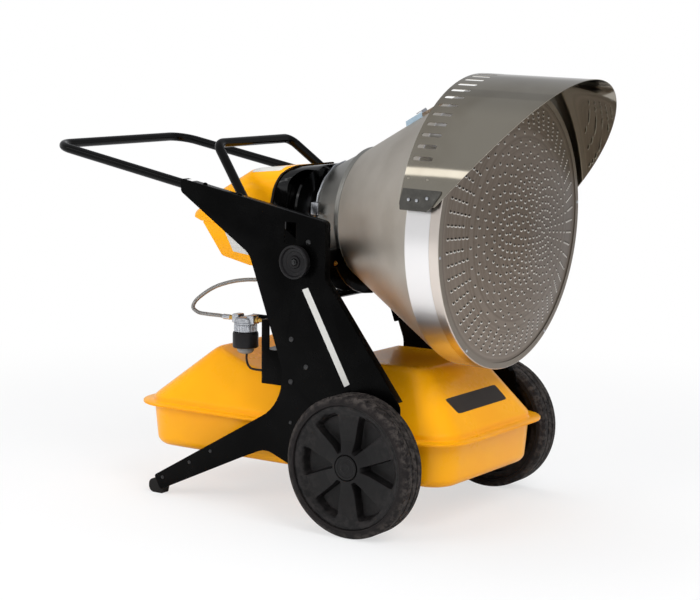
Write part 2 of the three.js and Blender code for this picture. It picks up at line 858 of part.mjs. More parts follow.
// Rings of one skin of the upper half, moved inwards by an offset
function upperRings(offset) {
  const foot = seamHeight + tankStepHeight;
  const level = (share) => tankRing(
    -THREE.MathUtils.lerp(tankRear, crestRear, share) + offset,
    THREE.MathUtils.lerp(tankFront, crestFront, share) - offset,
    THREE.MathUtils.lerp(tankHalfWidth, crestHalfWidth, share) - offset,
    THREE.MathUtils.lerp(tankCornerRadius, crestCornerRadius, Math.min(share, 1)) - offset,
    (x) => softLower(THREE.MathUtils.lerp(foot, tankCrestHeight, share), tankTopAt(x)) - offset,
  );
  return slopeShares.map(level);
}

// The upper half: flange, short upright step, sloping sides and the shaped top, in one pressed sheet
function makeTankUpper() {
  const flat = (offset, height) => tankRing(-tankRear + offset, tankFront - offset, tankHalfWidth - offset,
    tankCornerRadius - offset, () => height);
  const outer = [
    flat(-tankFlange, seamHeight), flat(-tankFlange, seamHeight + tankSheet),
    flat(-tankSheet, seamHeight + tankSheet), ...upperRings(0),
  ];
  const inner = [flat(tankSheet / 2, seamHeight), ...upperRings(tankSheet)];
  const shell = loft([...inner.reverse(), ...outer]);
  const hole = bar('z', fillerNeckRadius - fillerNeckWall, valleyHeight - fillerNeckRadius,
    valleyHeight + fillerNeckRadius * 2, smallFacets, [-fillerSetback, fillerOffset, 0]);
  return cut(shell, hole);
}

// The lower pan: its own flange under the seam, drafted walls and a rounded bottom edge
function makeTankPan() {
  const flat = (offset, height) => tankRing(-tankRear + offset, tankFront - offset, tankHalfWidth - offset,
    tankCornerRadius - offset, () => height, 1);
  const top = seamHeight - seatGap;
  const bottom = tankBottomHeight;
  const round = (offset) => {
    const rings = [];
    for (let k = 0; k <= filletSteps; k += 1) {
      const angle = (Math.PI / 2) * (k / filletSteps);
      const inward = panDraft + panBottomRadius * (1 - Math.cos(angle));
      rings.push(flat(inward + offset, bottom + offset + (panBottomRadius - offset) * (1 - Math.sin(angle))));
    }
    return rings;
  };
  const outer = loft([flat(-tankFlange, top), flat(-tankFlange, top - tankSheet),
    flat(0, top - tankSheet), ...round(0)]);
  const inner = loft([flat(tankSheet, top + cutOverrun), flat(tankSheet, top - tankSheet), ...round(tankSheet)]);
  return cut(outer, inner);
}

addPiece(heater, 'tank_upper_shell', makeTankUpper(), orangePaint);
addPiece(heater, 'tank_lower_pan', makeTankPan(), orangePaint);

// Filler neck with its cap, and a float gauge, in the valley behind the left plate

// The tank's outer skin as a closed solid, lifted by the seat gap, for whatever sits on it
function tankSkin() {
  const foot = tankRing(-tankRear, tankFront, tankHalfWidth, tankCornerRadius, () => seamHeight);
  return loft([foot, ...upperRings(0)]).translate([0, 0, seatGap]);
}

const valleyFloor = tankTopAt(-fillerSetback);
const fillerTop = valleyFloor + fillerNeckHeight;

function makeFillerNeck() {
  const bore = fillerNeckRadius - fillerNeckWall;
  const foot = fillerNeckRadius + fillerNeckWall * 2;
  const profile = [[bore, valleyHeight - fillerNeckWall], [foot, valleyHeight - fillerNeckWall],
    [foot, valleyFloor + fillerNeckWall * 2], [fillerNeckRadius, valleyFloor + fillerNeckWall * 2],
    [fillerNeckRadius, fillerTop], [bore, fillerTop]];
  return cut(revolve('z', profile, smallFacets, 0, [-fillerSetback, fillerOffset, 0]), tankSkin());
}

function makeFillerCap() {
  const low = valleyFloor + fillerNeckWall * 2 + seatGap;
  const rim = fillerTop + seatGap;
  const top = low + fillerCapHeight;
  const bore = fillerNeckRadius + seatGap;
  const profile = [[0, rim], [bore, rim], [bore, low], [fillerCapRadius, low],
    [fillerCapRadius, top - fillerCapEdge], [fillerCapRadius - fillerCapEdge, top], [0, top]];
  return revolve('z', profile, smallFacets * 2, 0, [-fillerSetback, fillerOffset, 0]);
}

// A domed gauge: a black ring round a clear window, here one piece
function makeGauge() {
  const top = valleyFloor + gaugeHeight;
  const lens = gaugeRadius - gaugeLensHeight;
  const profile = [[0, valleyHeight - gaugeLensHeight], [gaugeRadius, valleyHeight - gaugeLensHeight],
    [gaugeRadius, top], [lens, top], [lens, top - gaugeLensHeight], [0, top - gaugeLensHeight]];
  return cut(revolve('z', profile, smallFacets, 0, [-fillerSetback, gaugeOffset, 0]), tankSkin());
}

addPiece(heater, 'filler_neck', makeFillerNeck(), orangePaint);
addPiece(heater, 'filler_cap', makeFillerCap(), blackPlastic);
addPiece(heater, 'fuel_gauge', makeGauge(), blackPlastic);

// Fuel filter: head, toothed ring and bowl, on a bracket behind the right plate's edge
const filterCentre = [-filterSetback, -filterOffset, 0];
const filterHeadRear = -filterSetback - filterHeadLength / 2;
const filterHeadFront = -filterSetback + filterHeadLength / 2;

function makeFilterHead() {
  const roundTop = filterHeadBottom + filterHeadHeight * filterHeadRoundShare;
  return block(filterHeadRear, filterHeadFront, -filterOffset - filterHeadWidth / 2,
    -filterOffset + filterHeadWidth / 2, filterHeadBottom, filterHeadBottom + filterHeadHeight)
    .add(bar('z', filterHeadRadius, filterHeadBottom, roundTop, smallFacets,
      filterCentre));
}

function makeFilterRing() {
  const ring = bar('z', filterRingRadius, ringBottom, ringBottom + filterRingHeight, knobFacets);
  const teeth = [];
  for (let k = 0; k < filterRingTeeth; k += 1) {
    const turn = (2 * Math.PI * k) / filterRingTeeth;
    teeth.push(bar('z', filterRingToothDepth, ringBottom - cutOverrun, ringBottom + filterRingHeight + cutOverrun,
      hexSides, [filterRingRadius * Math.cos(turn), filterRingRadius * Math.sin(turn), 0]));
  }
  return cut(ring, ...teeth).translate(filterCentre);
}

function makeFilterBowl() {
  const top = filterBowlBottom + filterBowlHeight;
  const inner = filterBowlRadius - filterBowlWall;
  const profile = [[0, filterBowlBottom - filterPlugHeight], [filterPlugRadius, filterBowlBottom - filterPlugHeight],
    [filterPlugRadius, filterBowlBottom], [filterBowlRadius, filterBowlBottom + filterBowlWall],
    [filterBowlRadius, top], [inner, top], [inner, filterBowlBottom + filterBowlWall * 2],
    [0, filterBowlBottom + filterBowlWall * 2]];
  return revolve('z', profile, smallFacets, 0, filterCentre);
}

// A brass connector: a broad hexagon against the head, then a narrow neck
function makeFitting(near, direction) {
  const low = near + direction * seatGap;
  const shoulder = low + (direction * fittingLength) / 2;
  const end = low + direction * fittingLength;
  return bar('x', fittingRadius, Math.min(low, shoulder), Math.max(low, shoulder), hexSides)
    .add(bar('x', fittingNeckRadius, Math.min(low, end), Math.max(low, end), tubeFacets))
    .translate([0, -filterOffset, portHeight]);
}

// A folded box on the plate's inner face, with a post. An arm from its top holds the filter's head, and the
// supply pipe passes through it
function makeFilterBracket() {
  const rear = -bracketBoxRear;
  const front = rear + bracketBoxLength;
  const outer = -plateInner + seatGap;
  const inner = -filterOffset + filterHeadRadius + seatGap + bracketSheet;
  const low = bracketBoxTop - bracketBoxHeight;
  const shell = cut(block(rear, front, outer, inner, low, bracketBoxTop),
    block(rear + bracketSheet, front - bracketSheet, outer + bracketSheet, inner - bracketSheet, low - cutOverrun,
      bracketBoxTop - bracketSheet));
  const armLow = portHeight - bracketArmHeight / 2;
  const armTop = armLow + bracketArmHeight;
  const whole = join(shell,
    block(rear, rear + bracketPostWidth, outer, outer + bracketSheet, low, armTop),
    block(rear, rear + bracketSheet, outer, inner, armLow, armTop),
    block(-filterSetback + seatGap, rear + bracketSheet, inner - bracketSheet, inner, armLow, armTop),
    block(front - bracketSheet, front + bracketTabLength, outer, outer + bracketSheet, low, bracketBoxTop));
  return cut(whole, bar('x', supplyPipeDiameter / 2 + runningGap, rear - cutOverrun, rear + bracketSheet + cutOverrun,
    smallFacets, [0, -filterOffset, portHeight]));
}

// The supply pipe runs from the filter over to a connector on the tank's valley floor
function makeSupplyPipe() {
  const start = filterHeadFront + seatGap * 2 + fittingLength;
  const base = valleyFloor - seatGap;
  const pipe = bentTube([
    new THREE.Vector3(start, -filterOffset, portHeight),
    new THREE.Vector3(-supplyPipeSetback, -filterOffset, portHeight),
    new THREE.Vector3(-supplyPipeSetback, -supplyPipeOffset, portHeight - supplyPipeBend),
    new THREE.Vector3(-supplyPipeSetback, -supplyPipeOffset, base - supplyPipeDiameter),
  ], supplyPipeBend, supplyPipeDiameter);
  const nut = bar('z', supplyPipeDiameter, base - supplyPipeDiameter, base + supplyPipeDiameter * 2, hexSides,
    [-supplyPipeSetback, -supplyPipeOffset, 0]);
  return cut(pipe.add(nut), tankSkin());
}

// The hose is a round bar extruded along its own route
function makeHose() {
  const route = new THREE.CatmullRomCurve3(hoseRoute.map((point) => new THREE.Vector3(...point)), false, 'centripetal');
  const section = new THREE.Shape();
  for (let k = 0; k < hoseSides; k += 1) {
    const angle = (2 * Math.PI * k) / hoseSides;
    const point = [(hoseDiameter / 2) * Math.cos(angle), (hoseDiameter / 2) * Math.sin(angle)];
    if (k) section.lineTo(...point);
    else section.moveTo(...point);
  }
  return solid(new THREE.ExtrudeGeometry(section, { steps: hoseSteps, bevelEnabled: false, extrudePath: route }));
}

addPiece(heater, 'filter_head', makeFilterHead(), zinc);
addPiece(heater, 'filter_ring', makeFilterRing(), zinc);
addPiece(heater, 'filter_bowl', makeFilterBowl(), blackPlastic);
addPiece(heater, 'filter_outlet_fitting', makeFitting(filterHeadRear, -1), brass);
addPiece(heater, 'filter_inlet_fitting', makeFitting(filterHeadFront, 1), brass);
addPiece(heater, 'filter_bracket', makeFilterBracket(), blackCoat);
addPiece(heater, 'supply_pipe', makeSupplyPipe(), brass);
addPiece(heater, 'fuel_hose', makeHose(), braid);

// Head: everything that tilts, built about the tilt axis with the mouth along +X
const head = new THREE.Group();
head.position.set(-pivotSetback, 0, pivotHeight);
head.rotation.y = THREE.MathUtils.degToRad(headTilt);
heater.add(head);

// A round piece about the head's own axis, from [radius, reach] points
function headRound(profile, facets) {
  return revolve('x', profile, facets, headAxisRise);
}

// A point at a radius and a turn from the top of the head, towards the left where positive
function aboutHead(x, radius, degrees) {
  const turn = THREE.MathUtils.degToRad(degrees);
  return new THREE.Vector3(x, radius * Math.sin(turn), headAxisRise + radius * Math.cos(turn));
}

// A curved plate round the head's axis, from one turn to another
function headArc(low, high, xLow, xHigh, from, to, steps) {
  const rings = [];
  for (let k = 0; k <= steps; k += 1) {
    const turn = THREE.MathUtils.lerp(from, to, k / steps);
    rings.push([[xLow, low], [xHigh, low], [xHigh, high], [xLow, high]].map(([x, r]) => aboutHead(x, r, turn)));
  }
  return loft(rings);
}

const stepBandFront = stepBandReach + stepBandWidth;
const coneRear = stepBandFront + seatGap;
const bandRear = discReach - frontRingDepth - seatGap - frontBandDepth;

// The cone runs from a lip on the step band to a plain band at the mouth
function makeReflectorCone() {
  const mouth = discReach - frontRingDepth - seatGap;
  const inner = reflectorRadius - reflectorSheet;
  return headRound([
    [stepBandRadius - stepBandLip, coneRear], [stepBandRadius, coneRear], [reflectorRadius, bandRear],
    [reflectorRadius, mouth], [inner, mouth], [inner, bandRear + reflectorSheet / 2],
    [stepBandRadius - reflectorSheet, coneRear + reflectorSheet],
    [stepBandRadius - stepBandLip, coneRear + reflectorSheet],
  ], coneFacets);
}

function makeRearCollar() {
  const lip = stepBandRadius - stepBandLip;
  const t = reflectorSheet;
  return headRound([
    [collarRearRadius, -collarRearReach], [collarFrontRadius, stepBandReach], [stepBandRadius, stepBandReach],
    [stepBandRadius, stepBandFront], [lip, stepBandFront], [lip - t, stepBandReach],
    [collarRearRadius - t, -collarRearReach],
  ], coneFacets);
}

function makeFrontRing() {
  const t = reflectorSheet;
  const rear = discReach - frontRingDepth;
  const lip = reflectorRadius - frontRingLip;
  return headRound([
    [reflectorRadius, rear], [reflectorRadius, discReach], [lip, discReach], [lip, discReach - t],
    [reflectorRadius - t, discReach - t], [reflectorRadius - t, rear],
  ], coneFacets);
}

// The disc bulges forwards: a flat rim, a steeper ring and a shallow cone, pierced all over
function makeRadiationDisc() {
  const rim = discReach - reflectorSheet - seatGap;
  const edge = reflectorRadius - reflectorSheet - seatGap;
  const foot = edge - discRimWidth;
  const knee = rim + discKneeRise;
  const crest = rim + discCrestRise;
  const t = discSheet;
  const dome = headRound([
    [0, crest], [discKneeRadius, knee], [foot, rim], [edge, rim], [edge, rim - t], [foot, rim - t],
    [discKneeRadius, knee - t], [0, crest - t],
  ], coneFacets);
  const punch = bar('x', holeRadius, rim - t - cutOverrun, crest + cutOverrun, holeSides);
  const holes = [];
  const pierce = (radius, turn) => holes.push(punch.translate([0, radius * Math.sin(turn),
    headAxisRise + radius * Math.cos(turn)]));
  for (let row = 0; row < outerRows; row += 1) {
    for (let k = 0; k < outerHolesPerRow; k += 1) {
      pierce(foot - outerRowMargin - k * outerHolePitch, (2 * Math.PI * row) / outerRows);
    }
  }
  for (let ring = 1; ring <= innerRings; ring += 1) {
    for (let k = 0; k < innerHolesStep * ring; k += 1) {
      pierce(ring * innerRingPitch, (2 * Math.PI * (k + ring / 2)) / (innerHolesStep * ring));
    }
  }
  return cut(dome, ...holes);
}

const linerRear = -collarRearReach + seatGap;

function makeLiner() {
  const inner = linerRadius - linerSheet;
  return headRound([
    [linerRadius, linerRear], [linerRadius, linerRear + linerLength], [inner, linerRear + linerLength],
    [inner, linerRear],
  ], coneFacets / 2);
}

const flangeFront = -collarRearReach - seatGap;
const flangeRear = flangeFront - burnerFlangeThickness;
const bulkheadRear = -bulkheadReach;
const bulkheadFront = bulkheadRear + deckSheet;

// The blast tube is welded into the burner flange, which carries an ear on each side
function makeBurnerFlange() {
  const inner = blastTubeRadius - blastTubeSheet;
  const body = headRound([
    [inner, bulkheadFront + seatGap], [blastTubeRadius, bulkheadFront + seatGap], [blastTubeRadius, flangeRear],
    [burnerFlangeRadius, flangeRear], [burnerFlangeRadius, flangeFront], [blastTubeRadius, flangeFront],
    [blastTubeRadius, -blastTubeNose], [inner, -blastTubeNose],
  ], coneFacets / 2);
  const ear = (side) => sideways(join(
    block(flangeRear, flangeFront, collarRearRadius - burnerFlangeThickness, flangeEarOffset,
      headAxisRise, headAxisRise + flangeEarHeight),
    block(flangeRear, flangeFront + flangeEarReach, flangeEarOffset - burnerFlangeThickness, flangeEarOffset,
      headAxisRise, headAxisRise + flangeEarHeight),
  ), side);
  return join(body, ear(1), ear(-1));
}

// The nozzle stands in the blast tube on three arms, behind a round plate
function makeNozzle() {
  const front = -blastTubeNose - nozzleSheet;
  const plate = headRound([[0, front - nozzleSheet], [nozzlePlateRadius, front - nozzleSheet],
    [nozzlePlateRadius, front], [0, front]], coneFacets / 2);
  const barrel = headRound([[0, front - nozzleLength], [nozzleRadius, front - nozzleLength],
    [nozzleRadius, front], [0, front]], smallFacets);
  const arms = [];
  const reach = (blastTubeRadius - blastTubeSheet) * Math.cos((2 * Math.PI) / coneFacets) - seatGap;
  const arm = block(front - nozzleLength / 2 - nozzleRadius, front - nozzleLength / 2 + nozzleRadius,
    -nozzleSheet / 2, nozzleSheet / 2, 0, reach);
  for (let k = 0; k < 3; k += 1) arms.push(arm.rotate([(360 * k) / 3, 0, 0]).translate([0, 0, headAxisRise]));
  return join(plate, barrel, ...arms);
}

addPiece(head, 'reflector_cone', makeReflectorCone(), satinSteel);
addPiece(head, 'rear_collar', makeRearCollar(), satinSteel);
addPiece(head, 'front_ring', makeFrontRing(), satinSteel);
addPiece(head, 'radiation_disc', makeRadiationDisc(), heatedSteel);
addPiece(head, 'combustion_liner', makeLiner(), heatedSteel);
addPiece(head, 'burner_flange', makeBurnerFlange(), zinc);
addPiece(head, 'spray_nozzle', makeNozzle(), brass);

// Hood over the mouth: its front edge falls back from the top to the sides along a parabola
const visorRadius = reflectorRadius + visorGap;

function makeVisor() {
  const rings = [];
  const outer = visorRadius + visorSheet;
  for (let k = 0; k <= visorSteps; k += 1) {
    const share = (2 * k) / visorSteps - 1;
    const front = discReach + visorTopOverhang - visorFall * share ** 2;
    const corners = [[visorRearReach, visorRadius], [front, visorRadius], [front, outer], [visorRearReach, outer]];
    rings.push(corners.map(([x, radius]) => aboutHead(x, radius, share * visorHalfAngle)));
  }
  const slots = [];
  const rear = visorRearReach + slotMargin;
  const punch = block(rear, rear + slotLength, -slotWidth / 2, slotWidth / 2, visorRadius - cutOverrun,
    outer + cutOverrun);
  for (let k = 0; k < slotCount; k += 1) {
    const turn = THREE.MathUtils.radToDeg(((k - (slotCount - 1) / 2) * slotPitch) / visorRadius);
    slots.push(punch.rotate([turn, 0, 0]).translate([0, 0, headAxisRise]));
  }
  return cut(loft(rings), ...slots);
}

// A clip laps the hood's lower corner from outside and turns in to the mouth's band
function makeVisorClip(side) {
  const inner = visorRadius + visorSheet + seatGap;
  const toDegrees = (run) => THREE.MathUtils.radToDeg(run / visorRadius);
  const foot = visorHalfAngle + toDegrees(clipMargin);
  const end = foot + toDegrees(clipSheet * 2);
  const front = visorRearReach + clipLength;
  const lap = headArc(inner, inner + clipSheet, visorRearReach + clipMargin, front,
    side * (foot - toDegrees(clipLap)), side * (foot + toDegrees(clipSheet)), clipSteps);
  const post = headArc(reflectorRadius + seatGap, inner + clipSheet / 2, visorRearReach + clipMargin * 2,
    front - clipMargin, side * foot, side * end, 1);
  return join(lap, post);
}

// A folded lug stands on the cone behind the hood, in the middle of one of its flats
function makeLug() {
  const flatShare = Math.cos(Math.PI / coneFacets);
  const slope = (flatShare * (reflectorRadius - stepBandRadius)) / (bandRear - coneRear);
  const radius = flatShare * stepBandRadius + (lugReach - coneRear) * slope;
  const pitch = THREE.MathUtils.radToDeg(Math.atan(slope));
  const flatTurn = 360 / coneFacets;
  const turn = Math.floor(lugTurn / flatTurn) * flatTurn + flatTurn / 2;
  const foot = block(-lugLength / 2, lugLength / 2, -lugWidth / 2, lugWidth / 2, 0, lugSheet);
  const web = block(-lugLength / 2, -lugLength / 2 + lugSheet, -lugWidth / 2, lugWidth / 2, 0, lugHeight);
  const lip = block(-lugLength, -lugLength / 2 + lugSheet, -lugWidth / 2, lugWidth / 2, lugHeight - lugSheet,
    lugHeight);
  return join(foot, web, lip).translate([0, 0, seatGap]).rotate([0, -pitch, 0]).translate([lugReach, 0, radius])
    .rotate([turn, 0, 0]).translate([0, 0, headAxisRise]);
}

addPiece(head, 'visor', makeVisor(), polishedSteel);
for (const [name, side] of sides) addPiece(head, `visor_clip_${name}`, makeVisorClip(side), polishedSteel);
addPiece(head, 'cone_lug', makeLug(), zinc);

// Cradle under the collar, with its ears and weld studs on the tilt axis
function makeCradle() {
  const rear = cradleReach - cradleWidth;
  const seat = stepBandRadius + seatGap;
  const rim = seat + cradleDepth;
  const earInner = plateInner - runningGap - earThickness;
  const armLow = -cradleArmHeight / 2;
  const armHigh = cradleArmHeight / 2;
  const round = (radius, low, high) => bar('x', radius, low, high, coneFacets, [0, 0, headAxisRise]);
  const above = block(rear - cutOverrun, cradleReach + cutOverrun, -rim - cutOverrun, rim + cutOverrun, 0,
    headAxisRise + rim + cutOverrun);
  const ring = cut(round(rim, rear, cradleReach), above);
  const arms = block(rear, cradleReach, -earInner, earInner, armLow, armHigh);
  const inner = [rear + cradleSheet, cradleReach - cradleSheet];
  const low = headAxisRise - rim - cutOverrun;
  const hollowRing = block(...inner, -rim - cutOverrun, rim + cutOverrun, low, armHigh - cradleSheet)
    .subtract(round(seat + cradleSheet, rear - cutOverrun, cradleReach + cutOverrun));
  const hollowArms = block(...inner, -earInner, earInner, low, armHigh - cradleSheet)
    .subtract(round(seat + cradleSheet, rear - cutOverrun, cradleReach + cutOverrun));
  const channel = cut(join(ring, arms), hollowRing, hollowArms, round(seat, rear - cutOverrun, cradleReach + cutOverrun));
  const ends = sides.map(([, side]) => sideways(join(
    bar('y', earRadius, earInner, earInner + earThickness, smallFacets * 2),
    bar('y', studHeadRadius, earInner - studHeadHeight, earInner, hexSides),
    bar('y', studDiameter / 2, earInner, studEnd, smallFacets),
  ), side));
  return join(channel, ...ends);
}

// Dished knob, screwed on the stud
const knobFace = plateOuter + seatGap;
const studEnd = knobFace + knobDepth / 2;

function makeKnob() {
  const outer = knobFace + knobDepth;
  const bore = studDiameter / 2 + seatGap;
  const dish = knobRadius - knobRimWidth;
  const profile = [
    [bore, knobFace], [knobNeckRadius, knobFace], [knobNeckRadius, knobFace + knobNeckDepth],
    [knobRadius, knobFace + knobNeckDepth], [knobRadius, outer - knobEdge], [knobRadius - knobEdge, outer],
    [dish, outer], [dish - knobEdge, outer - knobDish], [knobCentreRadius, outer - knobDish],
    [knobCentreRadius, outer - knobEdge], [0, outer - knobEdge], [0, studEnd + seatGap], [bore, studEnd + seatGap],
  ];
  return revolve('y', profile, knobFacets);
}

addPiece(head, 'cradle', makeCradle(), blackCoat);
for (const [name, side] of sides) addPiece(head, `tilt_knob_${name}`, sideways(makeKnob(), side), blackPlastic);

// Burner housing

// Roof height of the housing at a place along the head, and the roof's slope there
const roofLine = [
  [-housingTail, housingTailTop], [-housingShoulder, housingShoulderTop], [-housingBreak, housingBreakTop],
  [-housingFront, housingFrontTop],
];

// The housing's outer form moved inwards by a distance, closed below at a given height
function housingForm(distance, low, tailLow) {
  const [tail, shoulder, breakPoint, front] = roofLine;
  const steep = (shoulder[1] - tail[1]) / (shoulder[0] - tail[0]);
  const middle = (breakPoint[1] - shoulder[1]) / (breakPoint[0] - shoulder[0]);
  const gentle = (front[1] - breakPoint[1]) / (front[0] - breakPoint[0]);
  const stations = [
    [tail[0] + distance, tail[1] + distance * steep, tailLow, housingTailHalfWidth, steep],
    [-boxTail, tail[1] + (-boxTail - tail[0]) * steep, low, housingHalfWidth, steep],
    [shoulder[0], shoulder[1], low, housingHalfWidth, (steep + middle) / 2],
    [breakPoint[0], breakPoint[1], low, housingHalfWidth, (middle + gentle) / 2],
    [front[0], front[1], low, housingHalfWidth, gentle],
    [0, front[1] - front[0] * gentle, low, housingHalfWidth, gentle],
  ];
  return loft(stations.map(([x, roof, bottom, halfWidth, slope]) => {
    const top = roof - distance * Math.hypot(1, slope);
    const side = halfWidth - distance;
    const radius = Math.min(housingTopRadius - distance, (roof - housingSplit) * housingRoundShare - distance);
    const half = [new THREE.Vector3(x, side, bottom)];
    for (let k = 0; k <= filletSteps; k += 1) {
      const turn = (Math.PI / 2) * (k / filletSteps);
      half.push(new THREE.Vector3(x, side - radius * (1 - Math.cos(turn)), top - radius * (1 - Math.sin(turn))));
    }
    return [...half, ...half.map((point) => new THREE.Vector3(point.x, -point.y, point.z)).reverse()];
  }));
}

function makeBurnerCover() {
  const low = housingSplit + seatGap;
  const shell = cut(housingForm(0, low, housingTailLow), housingForm(housingSheet, low - cutOverrun, low - cutOverrun));
  const edge = coverEdgeShares.map(([back, up]) => new THREE.Vector2(
    THREE.MathUtils.lerp(-coverFrontSide, -coverFrontTop, back),
    THREE.MathUtils.lerp(coverFrontLow, housingFrontTop, up),
  ));
  const ahead = [
    new THREE.Vector2(cutOverrun, low - cutOverrun), new THREE.Vector2(-coverFrontSide, low - cutOverrun),
    ...edge, new THREE.Vector2(-coverFrontTop, housingFrontTop + housingTopRadius),
    new THREE.Vector2(cutOverrun, housingFrontTop + housingTopRadius),
  ];
  return cut(shell, plate(ahead, -housingHalfWidth - cutOverrun, housingHalfWidth + cutOverrun));
}

function makeBurnerCasing() {
  const low = housingSplit + seatGap;
  const form = cut(housingForm(housingSheet + seatGap, low, low),
    housingForm(housingSheet * 2 + seatGap, low - cutOverrun, low - cutOverrun));
  const side = outline([
    [-casingRear, low - cutOverrun, 0], [-casingSideFront, low - cutOverrun, 0],
    [-casingSideFront, casingSideTop, casingCornerRadius], [-casingFront, casingSideTop, 0],
    [-casingFront, housingFrontTop + housingTopRadius, 0], [-casingRear, housingFrontTop + housingTopRadius, 0],
  ]);
  return form.intersect(plate(side, -housingHalfWidth, housingHalfWidth));
}

function boxOutline() {
  return [
    new THREE.Vector2(-boxTail, housingSplit), new THREE.Vector2(-boxHeel, -boxHeelDrop),
    new THREE.Vector2(-boxSole, -boxSoleDrop), new THREE.Vector2(-boxFront, -boxSoleDrop),
    new THREE.Vector2(-boxFront, boxLipHeight), new THREE.Vector2(-casingSideFront, housingSplit),
  ];
}

const wallOutside = boxHalfWidth;
const wallInside = boxHalfWidth - housingSheet;
const panelFace = wallOutside + seatGap + panelThickness;
const panelPlace = (share) => -panelSetback + share * panelLength;

// The control box is a tray under the cover, pierced on its left for what the panel carries
function makeControlBox() {
  const points = boxOutline();
  const inner = inset(points, housingSheet);
  for (const k of [0, inner.length - 1, inner.length - 2]) inner[k].y += cutOverrun;
  const tray = cut(plate(points, -wallOutside, wallOutside), plate(inner, -wallInside, wallInside));
  return cut(tray, ...panelHoles(wallInside - cutOverrun, wallOutside + cutOverrun));
}

// Deck and bulkhead in one folded sheet: the motor, the blower and the pump stand on it
const deckTop = headAxisRise - blowerRadius - seatGap;

function makeBurnerChassis() {
  const deck = block(-deckRear, -deckFront, -wallInside + seatGap, wallInside - seatGap, deckTop - deckSheet, deckTop);
  const gap = housingSheet * 2 + seatGap * 2;
  const wall = housingForm(gap, deckTop - deckSheet, deckTop - deckSheet)
    .intersect(block(bulkheadRear, bulkheadFront, -housingHalfWidth, housingHalfWidth, deckTop - deckSheet,
      housingFrontTop));
  const port = headRound([[0, bulkheadRear - cutOverrun], [blowerEye, bulkheadRear - cutOverrun],
    [blowerEye, bulkheadFront + cutOverrun], [0, bulkheadFront + cutOverrun]], smallFacets * 2);
  return cut(join(deck, wall), port);
}

addPiece(head, 'burner_cover', makeBurnerCover(), orangePaint);
addPiece(head, 'burner_casing', makeBurnerCasing(), blackCoat);
addPiece(head, 'burner_chassis', makeBurnerChassis(), zinc);

// Blower, motor and pump in line on the head's axis, igniter below the deck
const blowerFront = bulkheadRear - seatGap;
const blowerRear = blowerFront - blowerDepth;
const motorFront = blowerRear - motorGap;
const motorRear = motorFront - motorLength;
const pumpFront = motorRear - couplingRoom;
const pumpRear = pumpFront - pumpLength;

function makeBlowerHousing() {
  const t = blowerSheet;
  return headRound([
    [blowerEye, blowerRear], [blowerRadius, blowerRear], [blowerRadius, blowerFront], [blowerEye, blowerFront],
    [blowerEye, blowerFront - t], [blowerRadius - t, blowerFront - t], [blowerRadius - t, blowerRear + t],
    [blowerEye, blowerRear + t],
  ], coneFacets / 2);
}

// The rotor is the fan on the motor's shaft, with the pump's coupling at the far end
function makeRotor() {
  const rear = blowerRear + blowerSheet + fanInset;
  const front = rear + fanDepth;
  const shaftEnd = pumpFront + runningGap;
  const core = headRound([
    [0, shaftEnd], [couplingRadius, shaftEnd], [couplingRadius, motorRear - runningGap - seatGap],
    [shaftRadius, motorRear - runningGap - seatGap], [shaftRadius, rear], [fanHubRadius, rear],
    [fanHubRadius, front - fanPlate], [fanRadius, front - fanPlate], [fanRadius, front], [0, front],
  ], coneFacets / 2);
  const radius = fanRadius - fanBladeWidth / 2 - fanBladeThickness;
  const blade = block(rear, front - fanPlate / 2, -fanBladeThickness / 2, fanBladeThickness / 2,
    -fanBladeWidth / 2, fanBladeWidth / 2).rotate([fanBladeTurn, 0, 0]).translate([0, 0, radius]);
  const blades = [];
  for (let k = 0; k < fanBlades; k += 1) {
    blades.push(blade.rotate([(360 * k) / fanBlades, 0, 0]).translate([0, 0, headAxisRise]));
  }
  return join(core, ...blades);
}

function makeMotor() {
  const foot = block(motorRear + motorGap, motorFront - motorGap, -motorFootWidth / 2, motorFootWidth / 2,
    deckTop + seatGap, headAxisRise);
  const body = headRound([[0, motorRear], [motorRadius, motorRear], [motorRadius, motorFront], [0, motorFront]],
    coneFacets / 2);
  const bore = headRound([[0, motorRear - cutOverrun], [shaftRadius + runningGap, motorRear - cutOverrun],
    [shaftRadius + runningGap, motorFront + cutOverrun], [0, motorFront + cutOverrun]], smallFacets);
  return cut(join(foot, body), bore);
}

function makePump() {
  return join(
    block(pumpRear, pumpFront, -pumpWidth / 2, pumpWidth / 2, headAxisRise - pumpHeight / 2,
      headAxisRise + pumpHeight / 2),
    block(pumpRear + deckSheet * 2, pumpFront, -pumpFootWidth / 2, pumpFootWidth / 2, deckTop + seatGap, headAxisRise),
  );
}

function makeIgniter() {
  const low = -boxSoleDrop + housingSheet + seatGap;
  return block(-boxSole + housingSheet * 2, -boxSole + housingSheet * 2 + igniterLength,
    -igniterWidth / 2, igniterWidth / 2, low, low + igniterHeight);
}

addPiece(head, 'blower_housing', makeBlowerHousing(), zinc);
addPiece(head, 'fan_rotor', makeRotor(), zinc);
addPiece(head, 'blower_motor', makeMotor(), greyPlastic);
addPiece(head, 'fuel_pump', makePump(), zinc);
addPiece(head, 'igniter', makeIgniter(), blackPlastic);

// Controls: power switch, lamp, thermostat dial and mains inlet through one panel

// The holes that the controls pass through, used for the panel and for the wall behind it
function panelHoles(low, high) {
  const opening = (share, width, height) => block(panelPlace(share) - width / 2, panelPlace(share) + width / 2,
    low, high, panelRise - height / 2, panelRise + height / 2);
  return [
    opening(rockerShare, rockerWidth + seatGap * 2, rockerHeight + rockerRoom * 2),
    opening(inletShare, inletLength + seatGap * 2, inletHeight + seatGap * 2),
    bar('y', lampRadius + seatGap, low, high, tubeFacets, [panelPlace(lampShare), 0, panelRise]),
    bar('y', dialStemRadius + runningGap, low, high, tubeFacets, [panelPlace(dialShare), 0, panelRise]),
  ];
}

